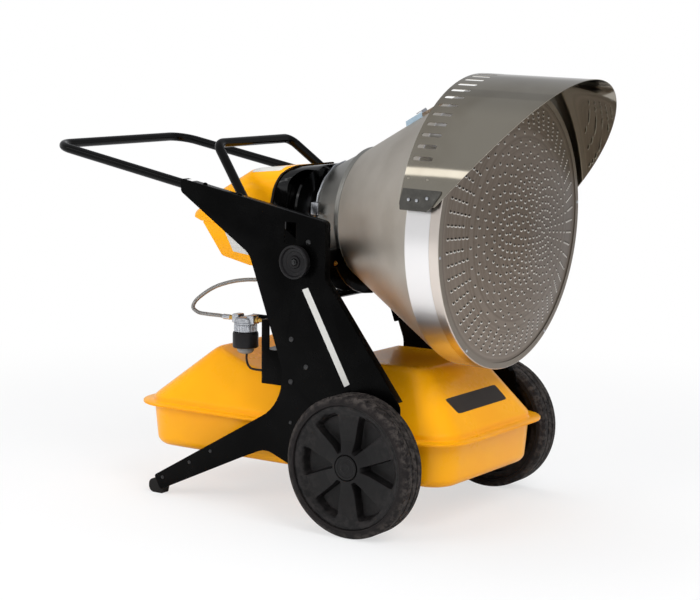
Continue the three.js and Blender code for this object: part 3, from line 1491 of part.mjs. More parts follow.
function makeControlPanel() {
  const [low, high] = [-panelSetback - panelLength / 2, -panelSetback + panelLength / 2];
  const [bottom, top] = [panelRise - panelHeight / 2, panelRise + panelHeight / 2];
  const face = outline([[low, bottom, panelCornerRadius], [high, bottom, panelCornerRadius],
    [high, top, panelCornerRadius], [low, top, panelCornerRadius]], 2);
  return cut(plate(face, wallOutside + seatGap, panelFace), ...panelHoles(wallOutside - cutOverrun,
    panelFace + cutOverrun));
}

// The rocker turns about a line along the head, in the plane of the panel's face
function makeRocker() {
  const [half, end] = [rockerDepth / 2, rockerHeight / 2];
  const side = [[-half, -end], [half, -end], [half - rockerDish, 0], [half, end], [-half, end]];
  return plate(side.map(([x, z]) => new THREE.Vector2(x, z)), -rockerWidth / 2, rockerWidth / 2)
    .rotate([0, 0, 90]).rotate([rockerTilt, 0, 0]).translate([panelPlace(rockerShare), panelFace, panelRise]);
}

function makeLamp() {
  const low = panelFace + lampRadius / 2 - lampDepth;
  return revolve('y', [[0, low], [lampRadius, low], [lampRadius, panelFace + seatGap],
    [lampRadius * lampTipShare, panelFace + lampRadius / 2], [0, panelFace + lampRadius / 2]], tubeFacets, panelRise,
  [panelPlace(lampShare), 0, 0]);
}

function makeDial() {
  const face = panelFace + runningGap;
  const knob = revolve('y', [
    [0, face - dialStemLength], [dialStemRadius, face - dialStemLength], [dialStemRadius, face], [dialRadius, face],
    [dialRadius, face + dialDepth - knobEdge], [dialRadius - knobEdge, face + dialDepth], [0, face + dialDepth],
  ], smallFacets);
  const pointer = block(-dialPointerWidth / 2, dialPointerWidth / 2, face + dialDepth / 2,
    face + dialDepth + dialPointerWidth / 2, 0, dialRadius - dialPointerWidth / 2);
  return join(knob, pointer).translate([panelPlace(dialShare), 0, panelRise]);
}

function makeInlet() {
  const [halfLength, halfHeight] = [inletLength / 2, inletHeight / 2];
  const face = panelFace + inletWall / 2;
  const body = block(-halfLength, halfLength, face - inletDepth, face, -halfHeight, halfHeight);
  const pocket = block(-halfLength + inletWall, halfLength - inletWall, face - inletDepth + inletWall,
    face + cutOverrun, -halfHeight + inletWall, halfHeight - inletWall);
  const pins = [-1, 0, 1].map((step) => block(step * inletPinPitch - inletPinWidth / 2,
    step * inletPinPitch + inletPinWidth / 2, face - inletDepth, face - inletWall, -inletPinHeight / 2,
    inletPinHeight / 2));
  return join(cut(body, pocket), ...pins).translate([panelPlace(inletShare), 0, panelRise]);
}

// The hose's connector on the right wall of the control box
function makeHoseFitting() {
  const start = wallOutside + seatGap;
  const place = [-hoseFittingReach, 0, -hoseFittingDrop];
  return sideways(join(
    bar('y', fittingRadius, start, start + hoseFittingLength / 2, hexSides, place),
    bar('y', fittingNeckRadius, start, start + hoseFittingLength - seatGap, tubeFacets, place),
  ), -1);
}

addPiece(head, 'control_box', makeControlBox(), orangePaint);
addPiece(head, 'control_panel', makeControlPanel(), blackPlastic);
addPiece(head, 'power_switch', makeRocker(), blackPlastic);
addPiece(head, 'signal_lamp', makeLamp(), blackPlastic);
addPiece(head, 'thermostat_dial', makeDial(), blackPlastic);
addPiece(head, 'power_inlet', makeInlet(), blackPlastic);
addPiece(head, 'hose_fitting', makeHoseFitting(), brass);

// The part's origin is the middle of its bounding box's bottom
const bounds = new THREE.Box3().setFromObject(heater, true);
const centre = bounds.getCenter(new THREE.Vector3());
for (const child of heater.children) {
  child.position.x -= centre.x;
  child.position.y -= centre.y;
  child.position.z -= bounds.min.z;
}

export default heater;
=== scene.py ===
# %% [markdown]
# # An oil-fired infrared heater, dressed in Blender
# A burner heats a perforated steel disc at the mouth of a wide cone. The cone tilts between two folded side
# plates, over an orange fuel tank on wheels. This lesson keeps the bare CAD solids as a fixed frame and gives each
# visible piece its true surface. Shapes are written in millimetres and scaled to metres, and +X is the way it faces.

# %% Load the packed frame
import bmesh
import bpy
import json
from contextlib import contextmanager
from math import acos, atan2, cos, degrees, hypot, pi, radians, sin, sqrt, tan
from mathutils import Matrix, Vector
from mathutils.bvhtree import BVHTree

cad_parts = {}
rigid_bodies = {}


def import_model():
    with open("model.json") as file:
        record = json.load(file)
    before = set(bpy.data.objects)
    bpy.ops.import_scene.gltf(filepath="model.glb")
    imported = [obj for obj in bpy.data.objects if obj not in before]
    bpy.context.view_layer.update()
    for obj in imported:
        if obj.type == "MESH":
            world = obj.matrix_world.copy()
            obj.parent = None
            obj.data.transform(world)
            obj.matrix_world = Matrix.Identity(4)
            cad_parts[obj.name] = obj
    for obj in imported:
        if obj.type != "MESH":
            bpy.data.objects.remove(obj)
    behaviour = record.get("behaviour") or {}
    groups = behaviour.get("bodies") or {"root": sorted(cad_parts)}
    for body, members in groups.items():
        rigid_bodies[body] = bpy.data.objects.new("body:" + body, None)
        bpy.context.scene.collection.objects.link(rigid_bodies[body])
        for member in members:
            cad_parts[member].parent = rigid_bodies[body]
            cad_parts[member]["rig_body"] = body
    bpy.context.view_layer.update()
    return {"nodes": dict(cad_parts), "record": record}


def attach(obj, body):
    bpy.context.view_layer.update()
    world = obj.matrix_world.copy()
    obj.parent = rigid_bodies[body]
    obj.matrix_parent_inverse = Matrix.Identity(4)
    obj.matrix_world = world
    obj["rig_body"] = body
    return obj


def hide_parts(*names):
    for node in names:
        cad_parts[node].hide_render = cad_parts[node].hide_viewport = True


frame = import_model()
nodes = frame["nodes"]
MM = 0.001

# %% [markdown]
# ## The camera
# The photograph was taken with a long lens from about 4 m, so its perspective is flat. A camera placed by eye never
# quite fits, so its angles (turn, lift and roll), lens and shift come from a fit to the wheels, cone, plate and tank.

# %% Place the camera
CAMERA_SPOT, CAMERA_ANGLES = (2.53668, -3.7035, 1.1014), (35.59, 9.29, 0.28)
LENS, SENSOR, SHIFT = 98.11, 36, (0.08499, 0.05896)


def link(name, data):
    """A new object in the scene."""
    made = bpy.data.objects.new(name, data)
    bpy.context.scene.collection.objects.link(made)
    return made


def make_camera():
    turn, lift, roll = (radians(angle) for angle in CAMERA_ANGLES)
    back = Vector((sin(turn) * cos(lift), -cos(turn) * cos(lift), sin(lift)))
    right = Vector((cos(turn), sin(turn), 0))
    up = back.cross(right)
    axes = Matrix((cos(roll) * right + sin(roll) * up, cos(roll) * up - sin(roll) * right, back))
    data = bpy.data.cameras.new("photo_camera")
    data.lens, data.sensor_width = LENS, SENSOR
    data.shift_x, data.shift_y = SHIFT
    camera = link("photo_camera", data)
    camera.matrix_world = Matrix.Translation(CAMERA_SPOT) @ axes.transposed().to_4x4()
    bpy.context.scene.camera = camera
    return camera


print("camera stands", round(make_camera().location.length, 2), "m from the middle of the floor")

# %% [markdown]
# ## Shader maths as plain expressions
# A material is a tree of nodes. It could be wired by hand, socket by socket. Wrapping a socket in a small class lets
# Python's own operators add the Math nodes instead, so that a mask reads as a formula.

# %% Wrap sockets and trees
def feed(place, value):
    """Links an output to an input, or sets the input's own value."""
    if isinstance(value, Value):
        value.tree.links.new(value.socket, place)
    else:
        place.default_value = value


def operator(operation, swapped=False):
    """A method that adds one Math node."""
    def apply(self, *others):
        node = self.tree.nodes.new("ShaderNodeMath")
        node.operation = operation
        for place, operand in zip(node.inputs, (*others, self) if swapped else (self, *others)):
            feed(place, operand)
        return Value(self.tree, node.outputs[0])
    return apply


class Value:
    """An output socket, on which arithmetic adds Math nodes."""

    __add__ = __radd__ = operator("ADD")
    __sub__, __rsub__ = operator("SUBTRACT"), operator("SUBTRACT", swapped=True)
    __mul__ = __rmul__ = operator("MULTIPLY")
    __pow__, __gt__, sine = operator("POWER"), operator("GREATER_THAN"), operator("SINE")

    def __init__(self, tree, socket):
        self.tree, self.socket = tree, socket

    def step(self, low, high):
        """Rises smoothly from 0 to 1 between two values, or falls where low is the larger."""
        node = self.tree.nodes.new("ShaderNodeMapRange")
        node.interpolation_type = "SMOOTHSTEP"
        ends = (high, low, 1, 0) if low > high else (low, high, 0, 1)
        for place, value in zip(node.inputs, (self, *ends)):
            feed(place, value)
        return Value(self.tree, node.outputs[0])


class Tree:
    """A node tree with one method that makes any node: its settings first, then its inputs."""

    def __init__(self, tree):
        self.tree = tree

    def node(self, kind, settings=None, inputs=None, out=0):
        node = self.tree.nodes.new(kind)
        for name, value in (settings or {}).items():
            setattr(node, name, value)
        for name, value in (inputs or {}).items():
            feed(node.inputs[name], value)
        return Value(self.tree, node.outputs[out])

    def axes(self, vector):
        split = self.node("ShaderNodeSeparateXYZ", None, {0: vector}).socket.node
        return [Value(self.tree, socket) for socket in split.outputs]


def tint(red, green, blue):
    """A colour as a screen shows it, 0 to 255, turned into the light values that a shader takes."""
    shown = (red / 255, green / 255, blue / 255)
    light = [c / 12.92 if c <= 0.04045 else ((c + 0.055) / 1.055) ** 2.4 for c in shown]
    return (*light, 1)


FINISHES = {}


class Finish(Tree):
    """A material: what is even goes straight on the shader, and what varies is linked by vary()."""

    def __init__(self, name, colour, roughness, metallic=0.0, **even):
        self.material = bpy.data.materials.new(name)
        self.material.use_nodes = True
        super().__init__(self.material.node_tree)
        self.shader = self.tree.nodes["Principled BSDF"]
        self.slot = name
        self.vary(Base_Color=colour, Roughness=roughness, Metallic=metallic, **even)
        self.material.diffuse_color = colour
        FINISHES[name] = self

    def vary(self, **sockets):
        for name, value in sockets.items():
            feed(self.shader.inputs[name.replace("_", " ")], value)
        return self

    def place(self, centre=(0, 0, 0), turn=(0, 0, 0)):
        """Object coordinates, seen from a piece's own centre and axes."""
        return self.node("ShaderNodeMapping", {"vector_type": "TEXTURE"}, {
            "Vector": self.node("ShaderNodeTexCoord", out="Object"), "Location": centre, "Rotation": turn})

    def noise(self, vector, scale, detail=3.0, rough=0.5):
        return self.node("ShaderNodeTexNoise", None,
                         {"Vector": vector, "Scale": scale, "Detail": detail, "Roughness": rough}, "Fac")

    def mix(self, share, first, second):
        return self.node("ShaderNodeMix", {"data_type": "RGBA"}, {0: share, 6: first, 7: second}, 2)

    def bump(self, height, depth, strength=1.0):
        """Raised detail: depth is its full height in metres."""
        return self.vary(Normal=self.node("ShaderNodeBump", None,
                                          {"Height": height, "Distance": depth, "Strength": strength}, "Normal"))


print("a Value has", sorted(name for name, made in vars(Value).items() if callable(made)))

# %% [markdown]
# ## Where the head sits
# The cone, disc and burner turn about a line between the plates and lean forward a little at rest. A finish or a
# mesh on the head could be written in the room's axes, but its rings and holes are plain only along its own axis:
# reach forwards, side to the left, and rise above the axis.

# %% Describe the head's axis
HEAD_LEAN = radians(1.76)
HEAD_ORIGIN = Vector((0.09733, 0, 0.680958))
HEAD = Matrix.Translation(HEAD_ORIGIN) @ Matrix.Rotation(HEAD_LEAN, 4, "Y")
PIVOT = Vector((0.09458036, 0, 0.591))
WHEEL_HUB = Vector((0.27658036, 0.306, 0.159))
print("head axis leans", round(degrees(HEAD_LEAN), 2), "degrees")

# %% [markdown]
# ## Paints, plastics and rubber
# Sheet parts are painted glossy orange, and the frame is powder coated black, which leaves a fine even grain. A
# picture could give that grain, but noise on Object coordinates has no seams and no size: a wide noise makes faint
# unevenness, and a fine one the grain.

# %% Mix the painted and moulded finishes
def paler(colour, gain, lift):
    return [c * gain + lift for c in colour[:3]] + [1]


def glossy_paint(name, colour, darker):
    made = Finish(name, colour, 0.3, Coat_Weight=0.2, Coat_Roughness=0.03, Specular_IOR_Level=0.12)
    spot = made.place()
    wide, dust = made.noise(spot, 7), made.noise(spot, 90, 5, 0.62)
    made.vary(Base_Color=made.mix(wide.step(0.4, 0.66) * 0.35, colour, darker),
              Roughness=0.24 + wide * 0.08 + dust.step(0.52, 0.75) * 0.12)
    return made.bump(made.noise(spot, 420, 2), 0.00004, 0.35)


def powder_coat(name, colour, roughness, grain, depth, shine=0.1):
    made = Finish(name, colour, roughness, Specular_IOR_Level=shine)
    spot = made.place()
    cloud = made.noise(spot, 16, 4)
    made.vary(Base_Color=made.mix(cloud.step(0.35, 0.75) * 0.5, colour, paler(colour, 1.7, 0.002)),
              Roughness=roughness - 0.06 + cloud * 0.12)
    return made.bump(made.noise(spot, grain, 2), depth, 0.5)


def moulded(name, colour, roughness, depth=0.00006, grain=1400):
    made = Finish(name, colour, roughness, Specular_IOR_Level=0.2)
    spot = made.place()
    scuff = made.noise(spot, 38, 6, 0.68)
    made.vary(Base_Color=made.mix(scuff.step(0.55, 0.8) * 0.3, colour, paler(colour, 1.5, 0.012)),
              Roughness=roughness + scuff.step(0.45, 0.7) * 0.1)
    return made.bump(made.noise(spot, grain, 3), depth, 0.6)


def speckled(name, colour, roughness, metallic, scale, first, second, detail=3.0, **even):
    """Two tones that one noise mixes. The noise is kept for a bump."""
    made = Finish(name, colour, roughness, metallic, **even)
    made.speck = made.noise(made.place(), scale, detail)
    return made.vary(Base_Color=made.mix(made.speck, first, second))


orange_paint = glossy_paint("orange_paint", tint(255, 176, 12), tint(250, 163, 10))
black_coat = powder_coat("black_coat", tint(3, 3, 3), 0.26, 900, 0.00003, 0.045)
black_gloss = powder_coat("black_gloss", tint(4, 4, 4), 0.12, 500, 0.000005, 0.42)
tube_black = powder_coat("tube_black", tint(3, 3, 3), 0.1, 500, 0.000005, 0.13)
powder_coat("motor_grey", tint(92, 96, 99), 0.5, 600, 0.00006)
black_plastic = moulded("black_plastic", tint(24, 23, 24), 0.34)
grey_plastic = moulded("grey_plastic", tint(138, 137, 134), 0.5)
foot_rubber = moulded("rubber", tint(34, 33, 32), 0.82, 0.0001, 700)
label_paper, label_dark, tag_blue = (
    moulded(name, colour, roughness, 0.00001, 900) for name, colour, roughness in (
        ("label_paper", tint(206, 205, 200), 0.4), ("label_dark", tint(40, 33, 28), 0.3),
        ("tag_blue", tint(176, 198, 214), 0.4)))
speckled("lamp_red", tint(190, 24, 16), 0.2, 0.0, 260, tint(196, 26, 18), tint(150, 14, 12), Coat_Weight=0.6)
print("paints and plastics:", len(FINISHES))

# %% [markdown]
# ## Wheel finishes
# A moulded wheel has flow marks round its hub, and its rubber tyre is duller, a little brown with dust, and scuffed
# pale along the shoulders where it meets the ground. Both could be painted on. The distance from the axle gives the
# rings and the worn band without a map.

# %% Mix the wheel finishes
def wheel_finish(name, colour, pale, roughness, wear):
    """wear is the band, as distances from the axle in metres, over which the scuffs set in."""
    made = Finish(name, colour, roughness, Specular_IOR_Level=0.2)
    spot = made.place((WHEEL_HUB.x, 0, WHEEL_HUB.z))
    x, y, z = made.axes(spot)
    away = (x * x + z * z) ** 0.5
    flow = made.node("ShaderNodeCombineXYZ", None, {"X": away * 260, "Y": y * 60, "Z": 0.0})
    rings = made.noise(flow, 1.0, 2)
    worn = away.step(*wear) * made.noise(spot, 70, 7, 0.7).step(0.42, 0.62)
    made.vary(Base_Color=made.mix(worn * 0.55 + rings.step(0.5, 0.9) * 0.12, colour, pale),
              Roughness=roughness + worn * 0.1)
    return made.bump(made.noise(spot, 500, 4) + rings * 0.5, 0.00012, 0.5)


tyre_rubber = wheel_finish("tyre_rubber", tint(26, 23, 23), tint(84, 78, 74), 0.7, (0.140, 0.156))
rim_plastic = wheel_finish("rim_plastic", tint(18, 17, 17), tint(56, 52, 51), 0.36, (0.06, 0.16))
print("wheel finishes:", tyre_rubber.material.name, rim_plastic.material.name)

# %% [markdown]
# ## Bare metals
# The cone is spun on a lathe, which leaves fine rings round its axis, so its noise is stretched along reach and
# distance from the axis. The disc has been red hot, so its steel is browned towards the middle. The hood is a
# mirror, small parts are zinc plated, and the pipe fittings are brass. Each is a mask on position, not a picture.

# %% Mix the metals
def spun_steel(name, colour, darker, roughness, rings, depth, grain=0.5):
    made = Finish(name, colour, roughness, 1.0)
    spot = made.spot = made.place(HEAD_ORIGIN, (0, HEAD_LEAN, 0))
    made.reach, side, rise = made.axes(spot)
    made.away = (side * side + rise * rise) ** 0.5
    lathe = made.node("ShaderNodeCombineXYZ", None, {"X": made.reach * rings, "Y": made.away * rings, "Z": 0.0})
    marks = made.marks = made.noise(lathe, 1.0, 3)
    cloud = made.noise(spot, 9, 4)
    made.vary(Base_Color=made.mix(marks.step(0.3, 0.7) * grain + cloud.step(0.35, 0.8) * 0.4, colour, darker),
              Roughness=roughness - 0.05 + marks * (0.2 * grain) + cloud.step(0.4, 0.8) * 0.06)
    return made.bump(marks, depth, 0.4)


def plated(name, colour, darker, roughness, grain):
    """Plating shows as small crystals that each catch the light a little differently."""
    made = Finish(name, colour, roughness, 1.0)
    spot = made.place()
    flake = made.axes(made.node("ShaderNodeTexVoronoi", None, {"Vector": spot, "Scale": grain}, "Color"))[0]
    made.vary(Base_Color=made.mix(flake * 0.7, colour, darker), Roughness=roughness - 0.03 + flake * 0.07)
    return made.bump(made.noise(spot, grain * 3, 3), 0.00001, 0.3)


satin_steel = spun_steel("satin_steel", tint(196, 188, 176), tint(176, 167, 154), 0.48, 420, 0.000005, 0.12)
# The band ahead of the cone's bend is smoother, and its near-white colour is a painted highlight.
band_painted_highlight = satin_steel.reach.step(0.3075, 0.309)
cone_tone = satin_steel.mix(satin_steel.noise(satin_steel.spot, 9, 4).step(0.35, 0.8), tint(208, 201, 190),
                            tint(192, 184, 172))
satin_steel.vary(Base_Color=satin_steel.mix(band_painted_highlight, cone_tone, tint(242, 240, 239)), Roughness=0.48 - band_painted_highlight * 0.14)
collar_steel = spun_steel("collar_steel", tint(162, 160, 154), tint(146, 144, 139), 0.4, 300, 0.000005, 0.15)
ring_steel = spun_steel("ring_steel", tint(206, 196, 187), tint(192, 180, 170), 0.3, 420, 0.00001, 0.3)
on_lip = ring_steel.away.step(0.3142, 0.3125) * ring_steel.reach.step(0.385, 0.389)
ring_steel.vary(Base_Color=ring_steel.mix(on_lip, tint(220, 210, 201), tint(140, 131, 120)),
                Roughness=0.3 + on_lip * 0.14)
heated_steel = spun_steel("heated_steel", tint(146, 134, 122), tint(124, 112, 100), 0.4, 160, 0.00003)
browned = heated_steel.away.step(0.30, 0.05) * (0.4 + 0.6 * heated_steel.noise(heated_steel.spot, 14, 4))
ringed = heated_steel.mix(heated_steel.marks.step(0.3, 0.7), tint(140, 129, 118), tint(122, 111, 100))
heated_steel.vary(Base_Color=heated_steel.mix(browned * 0.6, ringed, tint(104, 88, 72)))

# The hood's base colour is darker and browner than bare steel: a painted reflection of a dim room.
mirror_steel = Finish("polished_steel", tint(158, 152, 138), 0.07, 1.0)
film = mirror_steel.noise(mirror_steel.place(), 5, 3)
mirror_steel.vary(Roughness=0.05 + film.step(0.35, 0.8) * 0.05,
                  Base_Color=mirror_steel.mix(film.step(0.4, 0.7), tint(162, 156, 143), tint(144, 136, 122)))
mirror_steel.bump(mirror_steel.noise(mirror_steel.place(), 13, 1), 0.0006, 0.25)
# Near-white steel for the holes' lips: a painted highlight, brighter than the disc's own steel.
lip_steel = speckled("lip_steel", tint(240, 236, 228), 0.4, 0.5, 60, tint(248, 245, 238), tint(226, 220, 210))
dark_zinc = speckled("dark_zinc", tint(70, 70, 70), 0.36, 0.9, 500, tint(78, 78, 79), tint(50, 50, 50))
clip_steel = speckled("clip_steel", tint(112, 110, 105), 0.12, 1.0, 60, tint(124, 122, 116), tint(84, 82, 78), 2)
clip_steel.vary(Roughness=0.1 + clip_steel.speck * 0.1).bump(clip_steel.speck, 0.002, 0.6)
zinc = plated("zinc", tint(200, 202, 206), tint(180, 183, 188), 0.32, 260)
brass = plated("brass", tint(212, 174, 96), tint(184, 142, 70), 0.26, 420)
browned_zinc = plated("browned_zinc", tint(150, 134, 118), tint(112, 96, 80), 0.36, 200)
plated("fan_alloy", tint(178, 180, 183), tint(150, 152, 156), 0.42, 200)
print("paints, plastics and metals:", len(FINISHES))

# %% [markdown]
# ## The hose sheath
# The hose is sheathed in woven wire. Modelling each strand would take a hundred thousand faces, so the weave is a
# finish. Its mesh carries a map with u round the hose and v along it in metres, on which two sets of slanting
# strands pass over and under each other.

# %% Weave the hose sheath
STRANDS, PITCH = 8, 330
braid = Finish("braided_hose", tint(150, 148, 144), 0.36, 0.85)
round_way, long_way, _ = braid.axes(braid.node("ShaderNodeUVMap", {"uv_map": "UVMap"}))
round_turn, long_turn = round_way * (STRANDS * 2 * pi), long_way * (PITCH * 2 * pi)
right_strand = ((round_turn + long_turn).sine() + 1) * 0.5
left_strand = ((round_turn - long_turn).sine() + 1) * 0.5
over = (round_turn.sine() * long_turn.sine()) > 0
woven = right_strand * over + left_strand * (1 - over)
braid.vary(Base_Color=braid.mix(woven.step(0.1, 0.8), tint(58, 56, 54), tint(196, 193, 188)),
           Roughness=0.46 - woven * 0.16)
braid.bump(woven, 0.0005, 0.9)
print("strands each way:", STRANDS)

# %% [markdown]
# ## Slots for the special finishes
# The packed record knows a finish by its slot. Most finishes here have their slot's own name. The others are
# variants that this photograph needs, so each is handed over under the slot that it is nearest to.

# %% Name the slots of the variants
for slot, variants in (("black_plastic", (rim_plastic, label_dark)), ("grey_plastic", (label_paper, tag_blue)),
                       ("black_coat", (dark_zinc, tube_black)), ("satin_steel", (ring_steel, collar_steel)),
                       ("heated_steel", (lip_steel,)), ("polished_steel", (clip_steel,)), ("zinc", (browned_zinc,))):
    for variant in variants:
        variant.slot = slot
print("finishes:", len(FINISHES), "slots:", len({made.slot for made in FINISHES.values()}))

# %% [markdown]
# ## Floor and light
# The photograph has a plain white ground. A pale floor catches the soft shadow, and the world is white to the
# camera. In reflections it darkens upwards like a studio ceiling, with one bright strip and one dark gap to the
# sides that the hood mirrors. A backdrop mesh could do this too, but it would shade the heater. Three wide area
# lamps stand in for a studio's soft boxes. Reflections don't show them.

# %% Lay the floor and hang the lamps
SQUARE = ((-1, -1), (1, -1), (1, 1), (-1, 1))
FLOOR_REACH = 14


def make_stage():
    mesh = bpy.data.meshes.new("floor")
    mesh.from_pydata([(x * FLOOR_REACH, y * FLOOR_REACH, 0) for x, y in SQUARE], [], [(0, 1, 2, 3)])
    paper = Finish("floor_paper", (0.86, 0.86, 0.86, 1), 0.9)
    seen = paper.node("ShaderNodeLightPath", out="Is Camera Ray")
    x, y, _ = paper.axes(paper.place())
    far = ((x * x + y * y) ** 0.5).step(0.9, 2.4)
    lit = paper.node("ShaderNodeEmission", None, {"Color": (1, 1, 1, 1), "Strength": 1.0}, "Emission")
    mixed = paper.node("ShaderNodeMixShader", None, {0: seen * (0.62 + far * 0.38), 2: lit,
                                                     1: Value(paper.tree, paper.shader.outputs[0])})
    feed(paper.tree.nodes["Material Output"].inputs["Surface"], mixed)
    mesh.materials.append(paper.material)
    link("floor", mesh)


def make_world():
    world = bpy.data.worlds.new("studio")
    world.use_nodes = True
    bpy.context.scene.world = world
    sky = Tree(world.node_tree)
    ground = sky.tree.nodes["Background"]
    ground.inputs["Color"].default_value, ground.inputs["Strength"].default_value = (0.93, 0.95, 1, 1), 0.42
    straight, mirrored, through_glass = (
        sky.node("ShaderNodeLightPath", out=f"Is {kind} Ray") for kind in ("Camera", "Glossy", "Transmission"))
    _, across, rise = sky.axes(sky.node("ShaderNodeTexCoord", out="Generated"))
    strip = across.step(-0.68, -0.66) * across.step(-0.6, -0.62) * rise.step(0.2, 0.25)
    gap = across.step(0.38, 0.42) * across.step(0.54, 0.5) * rise.step(0.3, 0.4)
    graded = 0.62 - rise.step(0.06, 0.4) * 0.38 - across.step(0.0, 0.35) * 0.14 + strip - gap * 0.26
    white = sky.node("ShaderNodeBackground", None, {"Color": (1, 1, 1, 1),
                                                    "Strength": mirrored * strip * 1.6 + 1.0})
    mixed = sky.node("ShaderNodeMixShader", None, {0: straight + mirrored * graded + through_glass,
                                                   1: Value(sky.tree, ground.outputs[0]), 2: white})
    feed(sky.tree.nodes["World Output"].inputs["Surface"], mixed)


def make_lamp(name, place, target, size, power):
    data = bpy.data.lights.new(name, "AREA")
    data.shape, data.energy = "RECTANGLE", power
    data.size, data.size_y = size
    lamp = link(name, data)
    away = (Vector(target) - Vector(place)).to_track_quat("-Z", "Y")
    lamp.matrix_world = Matrix.Translation(place) @ away.to_matrix().to_4x4()
    lamp.visible_glossy = False


make_stage()
make_world()
make_lamp("key_box", (3.2, -1.4, 3.4), (0, 0, 0.5), (2.4, 2.4), 105)
make_lamp("side_box", (-1.4, -4.2, 2.3), (0, 0, 0.5), (2.6, 1.8), 95)
make_lamp("top_box", (-0.4, 0.6, 4.0), (0, 0, 0.3), (3.0, 3.0), 70)
bpy.context.scene.view_settings.view_transform = "Standard"
print("lamps:", [light.name for light in bpy.data.lights])

# %% [markdown]
# ## Tools for making meshes
# Folded and moulded parts share a few forms: an outline with rounded corners, a slab of it, a profile turned about
# an axis, and a skin through rings. Modelling them by hand would hide their sizes. Each helper makes one form from
# its numbers, and settle() turns modifiers into plain mesh.

# %% Edit a mesh and turn an outline's corners
@contextmanager
def editing(mesh):
    """Opens a mesh for bmesh and writes it back."""
    work = bmesh.new()
    work.from_mesh(mesh)
    yield work
    work.to_mesh(mesh)
    work.free()


def rounded(corners, steps=6):
    """A closed outline in the plane: each corner is (x, z, fillet radius)."""
    points = []
    for i, (x, z, radius) in enumerate(corners):
        corner = Vector((x, z))
        if not radius:
            points.append(corner)
            continue
        before, after = ((Vector(corners[k % len(corners)][:2]) - corner).normalized() for k in (i - 1, i + 1))
        half = acos(max(-1, min(1, before.dot(after)))) / 2
        start, end = (corner + way * (radius / tan(half)) for way in (before, after))
        centre = corner + (before + after).normalized() * (radius / sin(half))
        first = atan2(start.y - centre.y, start.x - centre.x)
        turn = (atan2(end.y - centre.y, end.x - centre.x) - first + pi) % (2 * pi) - pi
        points += [centre + radius * Vector((cos(first + turn * k / steps), sin(first + turn * k / steps)))
                   for k in range(steps + 1)]
    return points


def inset(points, distance):
    """The same outline moved inwards by a distance."""
    count, made = len(points), []
    area = sum(points[i - 1].cross(points[i]) for i in range(count))
    for i, point in enumerate(points):
        before = (point - points[i - 1]).normalized()
        after = (points[(i + 1) % count] - point).normalized()
        normal = Vector((-(before.y + after.y), before.x + after.x)).normalized() * (1 if area > 0 else -1)
        made.append(point + normal * (distance / max(sqrt(max(0, (1 + before.dot(after)) / 2)), 0.5)))
    return made


def circle(radius, count, centre=(0, 0)):
    return [(centre[0] + radius * cos(2 * pi * k / count), centre[1] + radius * sin(2 * pi * k / count))
            for k in range(count)]


print("a square with round corners has", len(rounded([(x, z, 0.2) for x, z in SQUARE])), "points")

# %% [markdown]
# ## Places
# Three places carry nearly every piece: the floor under the wheel axle, the line that the head tilts about and the
# head's own axis. Working from these keeps a shape's numbers free of its position.

# %% Name the places
AXLE_PLACE = 276.58034
AXLE = Matrix.Translation((AXLE_PLACE * MM, 0, 0))
TILT = Matrix.Translation(PIVOT) @ Matrix.Rotation(HEAD_LEAN, 4, "Y")
UPRIGHT = Matrix.Rotation(-pi / 2, 4, "Y")


def spot(x, y, z):
    """A point given in millimetres from the floor under the wheel axle."""
    return Vector(((x + AXLE_PLACE) * MM, y * MM, z * MM))


def beside(reach, radius, turn):
    """A point beside the X axis: how far along it, how far off it and how far round from the top."""
    return Vector((reach * MM, radius * MM * sin(turn), radius * MM * cos(turn)))


def on_head(reach, radius, turn):
    return HEAD @ beside(reach, radius, turn)


def facing(place, *way):
    return place.to_3x3() @ Vector(way)


def off_axis(place, turn):
    """The way straight off a place's X axis."""
    return facing(place, 0, sin(turn), cos(turn))


def ring_spot(place, reach, radius, turn):
    """Where a repeated shape stands on a turned piece: its place, its aim off the axis, and its course along it."""
    return place @ beside(reach, radius, turn), off_axis(place, turn), facing(place, 1, 0, 0)


print("from the wheel axle to the tilt axis:", round((PIVOT.x - WHEEL_HUB.x) / MM, 1), "mm")

# %% [markdown]
# ## Solids from rows of points
# A closed solid could be extruded with Blender's own tools. Writing its rows of points and joining each row to the
# next does the same in one step for slabs, prisms, tubes and skins alike.

# %% Make solids from rows
def make_object(name, mesh, finish=None):
    made = link(name, mesh)
    mesh.materials.clear()
    if finish:
        mesh.materials.append(finish.material)
        made["finish_slot"] = finish.slot
    return made


def from_faces(name, points, faces, finish=None, place=None):
    """A mesh from points and faces, with doubles merged and faces turned outwards."""
    mesh = bpy.data.meshes.new(name)
    mesh.from_pydata([tuple(p) for p in points], [], faces)
    with editing(mesh) as work:
        if place:
            work.transform(place)
        bmesh.ops.remove_doubles(work, verts=work.verts, dist=1e-6)
        bmesh.ops.recalc_face_normals(work, faces=work.faces)
    return make_object(name, mesh, finish)


def joined_rows(rows, size):
    """Faces from each row of points to the next, with every row closed on itself."""
    return [(i * size + j, i * size + (j + 1) % size, (i + 1) * size + (j + 1) % size, (i + 1) * size + j)
            for i in range(rows - 1) for j in range(size)]


def stack(name, rows, finish=None, place=None):
    """A solid through rows of equal counts of points in metres, with a flat end at the first and the last row."""
    size, last = len(rows[0]), len(rows) - 1
    ends = [tuple(range(size)), tuple(range(last * size, (last + 1) * size))]
    return from_faces(name, [p for row in rows for p in row], ends + joined_rows(len(rows), size), finish, place)


def slab(name, points, low, high, finish=None, place=AXLE):
    """An outline of (x, z) points in millimetres, extruded from one y to another."""
    return stack(name, [[Vector((p[0] * MM, y * MM, p[1] * MM)) for p in points] for y in (low, high)], finish, place)


def prism(name, points, low, high, finish=None):
    """A flat outline in millimetres, raised along Z from one height to another."""
    return stack(name, [[Vector((p[0] * MM, p[1] * MM, z * MM)) for p in points] for z in (low, high)], finish)


def standing(name, outline, levels, finish, place):
    """One outline at several heights: levels are (height, scale)."""
    rows = [[Vector((x * scale, y * scale, height)) * MM for x, y in outline] for height, scale in levels]
    return stack(name, rows, finish, place)


